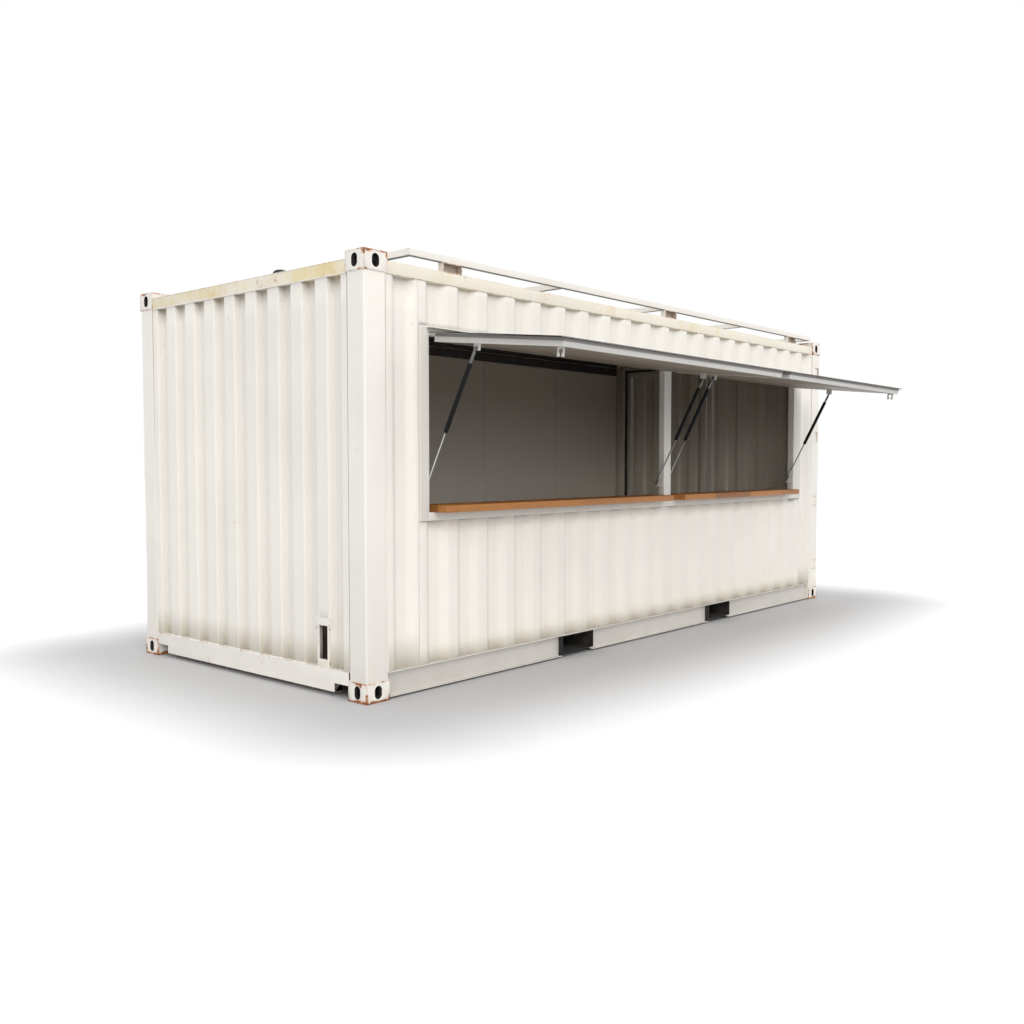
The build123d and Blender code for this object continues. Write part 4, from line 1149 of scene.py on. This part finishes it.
class BAR_OT_roof_frame(bpy.types.Operator):
    """Paint the tube frame on the roof, its underside grey as painted shade, and its brackets, and cap the
    tubes
    """

    bl_idname = "bar.roof_frame"
    bl_label = "Roof frame"

    def execute(self, context):
        # Downward faces of the tube frame get the grey as painted shade
        dress("roof_frame", "frame paint", 0.005, steps=3, other="grey seal", where=downward)
        low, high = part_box("roof_frame")
        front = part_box("roof_frame_brackets")[0].y
        near, far = front + 0.003, front + 0.044
        bracket_run = 0.165
        places = [low.x + part * (high.x - low.x) for part in (0.0655, 0.5218, 0.9218)]

        def hollow(centre, normal):
            beside = min(abs(centre.x - place) for place in places) < bracket_run / 2 - INSIDE_DEPTH
            return beside and near < centre.y < far and centre.z < low.z - INSIDE_DEPTH

        # The brackets' hollows get the inner paint as painted shade
        dress("roof_frame_brackets", "bracket paint", context.scene.bar_sizes.edge_round, "bracket edge",
              other="inner paint", where=hollow)
        tube, wall, thin = high.z - low.z, 0.004, 0.003
        shape = bmesh.new()
        for y in (low.y, high.y - tube):
            for x in (low.x, high.x - thin):
                block(shape, (x, y + wall, low.z + wall), (x + thin, y + tube - wall, high.z - wall))
        hand_over(shape_piece("roof_frame_caps", shape, "frame paint"), ROOT, WHITE)
        return {"FINISHED"}


class BAR_OT_vent(bpy.types.Operator):
    """Paint the vent plate on the blind end, with its hood and bolts"""

    bl_idname = "bar.vent"
    bl_label = "Vent plate"

    def execute(self, context):
        dress("vent_plate", "wall paint", 0.001, "frame edge")
        low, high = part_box("vent_plate")
        middle, base, out, sunk, slant = (low.y + high.y) / 2, 0.418, 0.0008, 0.002, 0.9
        outline = ((-0.056, 0.0), (0.056, 0.0), (0.050, 0.016), (0.022, 0.036), (0.0, 0.042), (-0.022, 0.036),
                   (-0.050, 0.016))
        shape = bmesh.new()
        front = [shape.verts.new((low.x - out, middle + y, base + z * slant)) for y, z in outline]
        behind = [shape.verts.new((low.x + sunk, middle + y, base + z)) for y, z in outline]
        shape.faces.new(front)
        shape.faces.new(reversed(behind))
        for number in range(len(outline)):
            after = (number + 1) % len(outline)
            shape.faces.new((front[number], behind[number], behind[after], front[after]))
        hand_over(shape_piece("vent_hood", shape, "wall paint", width=0.001), ROOT, WHITE)
        plate, inset, bolt_base, bolt_step = high.x - 0.003, 0.014, low.z + 0.03, (0, 0, 0.205)
        rows = [((plate, y, bolt_base), bolt_step, 2, (-1, 0, 0)) for y in (low.y + inset, high.y - inset)]
        bolts("vent_bolts", rows, "zinc", context.scene.bar_sizes.screw_radius * 0.7)
        return {"FINISHED"}


def camera_white(unseen, seen_as):
    """Two shaders mixed, the second one seen only by the camera, in gloss and through glass."""
    path = add(unseen.tree, "ShaderNodeLightPath").outputs
    camera, gloss, glass = (Wire(unseen.tree, path[f"Is {ray} Ray"])
                            for ray in ("Camera", "Glossy", "Transmission"))
    seen = maths("MAXIMUM", maths("MAXIMUM", camera, gloss), glass)
    return follow("ShaderNodeMixShader", {0: seen, 1: unseen, 2: seen_as})


class BAR_OT_stage(bpy.types.Operator):
    """Set up the pale floor with a painted shadow round the container's footprint, the soft lamp, the white
    backdrop and the camera
    """

    bl_idname = "bar.stage"
    bl_label = "Stage"

    def execute(self, context):
        stage, scene = context.scene.bar_stage, context.scene
        scene.view_settings.view_transform = "Standard"
        material, place = new_material("pale floor")
        tree = material.node_tree
        tree.nodes.remove(tree.nodes["Material Output"])
        shade = blend(speckle(place, 0.6, 3), flat(stage.floor), flat(stage.floor, 0.97))
        matt, dim = (follow("ShaderNodeBsdfDiffuse", {"Color": blend(dark, shade, BLACK)})
                     for dark in (stage.floor_shade, 1.0 - stage.floor_bounce))
        # The floor is darkened for the camera and lifted to white only away from the footprint: a painted
        # shadow round the container
        footprint, glow_start, glow_end = (cad_high.x, cad_high.x * 0.45, 1.0), 0.1, 1.9
        beside = vector_maths("SUBTRACT", vector_maths("ABSOLUTE", place), footprint)
        away = vector_maths("LENGTH", vector_maths("MAXIMUM", beside), output="Value")
        lift = ramp(away, glow_start, glow_end, stage.floor_glow)
        glow = follow("ShaderNodeEmission", {"Color": PURE_WHITE, "Strength": lift})
        seen = follow("ShaderNodeAddShader", {0: matt, 1: glow})
        add(tree, "ShaderNodeOutputMaterial", {0: camera_white(dim, seen)}).is_active_output = True
        shape = bmesh.new()
        bmesh.ops.create_grid(shape, x_segments=2, y_segments=2, size=60)
        mesh = plain_mesh("floor_plane", shape)
        mesh.materials.append(material)
        mesh.transform(Matrix.Translation((0, 0, -0.001)))
        new_piece("floor_plane", mesh)

        scene.world = scene.world or bpy.data.worlds.new("studio")
        scene.world.use_nodes = True
        tree = scene.world.node_tree
        tree.nodes.clear()
        light, white = (wire(tree, "ShaderNodeBackground", {"Color": shade, "Strength": strength})
                        for shade, strength in (((0.97, 0.98, 1.0, 1.0), stage.sky), (PURE_WHITE, 1.0)))
        add(tree, "ShaderNodeOutputWorld", {0: camera_white(light, white)})

        key = bpy.data.lights.new("key", "SUN")
        key.energy, key.angle, key.color = stage.key_power, stage.key_spread, (1.0, 0.965, 0.91)
        lamp = new_piece("key", key)
        lamp.location = (-9.0, -7.5, 9.0)
        lamp.rotation_euler = Vector((0.42, 0.74, -0.52)).to_track_quat("-Z", "Y").to_euler()

        camera = bpy.data.cameras.new("camera")
        camera.sensor_width, camera.lens, camera.clip_end = 36, stage.camera_lens, 200
        scene.camera = new_piece("camera", camera)
        scene.camera.location = stage.camera_place
        scene.camera.rotation_euler = Euler((math.radians(90) + stage.camera_pitch, 0, -stage.camera_yaw))
        return {"FINISHED"}


class BAR_PT_panel(bpy.types.Panel):
    """Sizes, colours and steps of the container bar"""

    bl_idname = "BAR_PT_panel"
    bl_label = "Container Bar"
    bl_space_type = "VIEW_3D"
    bl_region_type = "UI"
    bl_category = "Container Bar"

    def draw(self, context):
        for title, holder in (("Colours", "bar_colours"), ("Sizes", "bar_sizes"), ("Stage", "bar_stage")):
            box = self.layout.box()
            box.label(text=title)
            settings = getattr(context.scene, holder)
            for name in settings.bl_rna.properties.keys():
                if name not in ("rna_type", "name"):
                    box.prop(settings, name)
        for operator in operators:
            self.layout.operator(operator.bl_idname)


operators = (BAR_OT_walls, BAR_OT_roof, BAR_OT_frame, BAR_OT_floor, BAR_OT_lining,
             BAR_OT_hatch, BAR_OT_counter, BAR_OT_flaps, BAR_OT_struts, BAR_OT_doors,
             BAR_OT_roof_frame, BAR_OT_vent, BAR_OT_stage)
classes = (BarColours, BarSizes, BarStage, *operators, BAR_PT_panel)


def register():
    """Add the classes and the settings."""
    for item in classes:
        bpy.utils.register_class(item)
    bpy.types.Scene.bar_colours = PointerProperty(type=BarColours)
    bpy.types.Scene.bar_sizes = PointerProperty(type=BarSizes)
    bpy.types.Scene.bar_stage = PointerProperty(type=BarStage)


def unregister():
    """Take the settings and the classes away again."""
    del bpy.types.Scene.bar_stage
    del bpy.types.Scene.bar_sizes
    del bpy.types.Scene.bar_colours
    for item in reversed(classes):
        bpy.utils.unregister_class(item)


def main():
    """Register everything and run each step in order."""
    register()
    for operator in operators:
        area, step = operator.bl_idname.split(".")
        getattr(getattr(bpy.ops, area), step)()


if __name__ == "__main__":
    main()
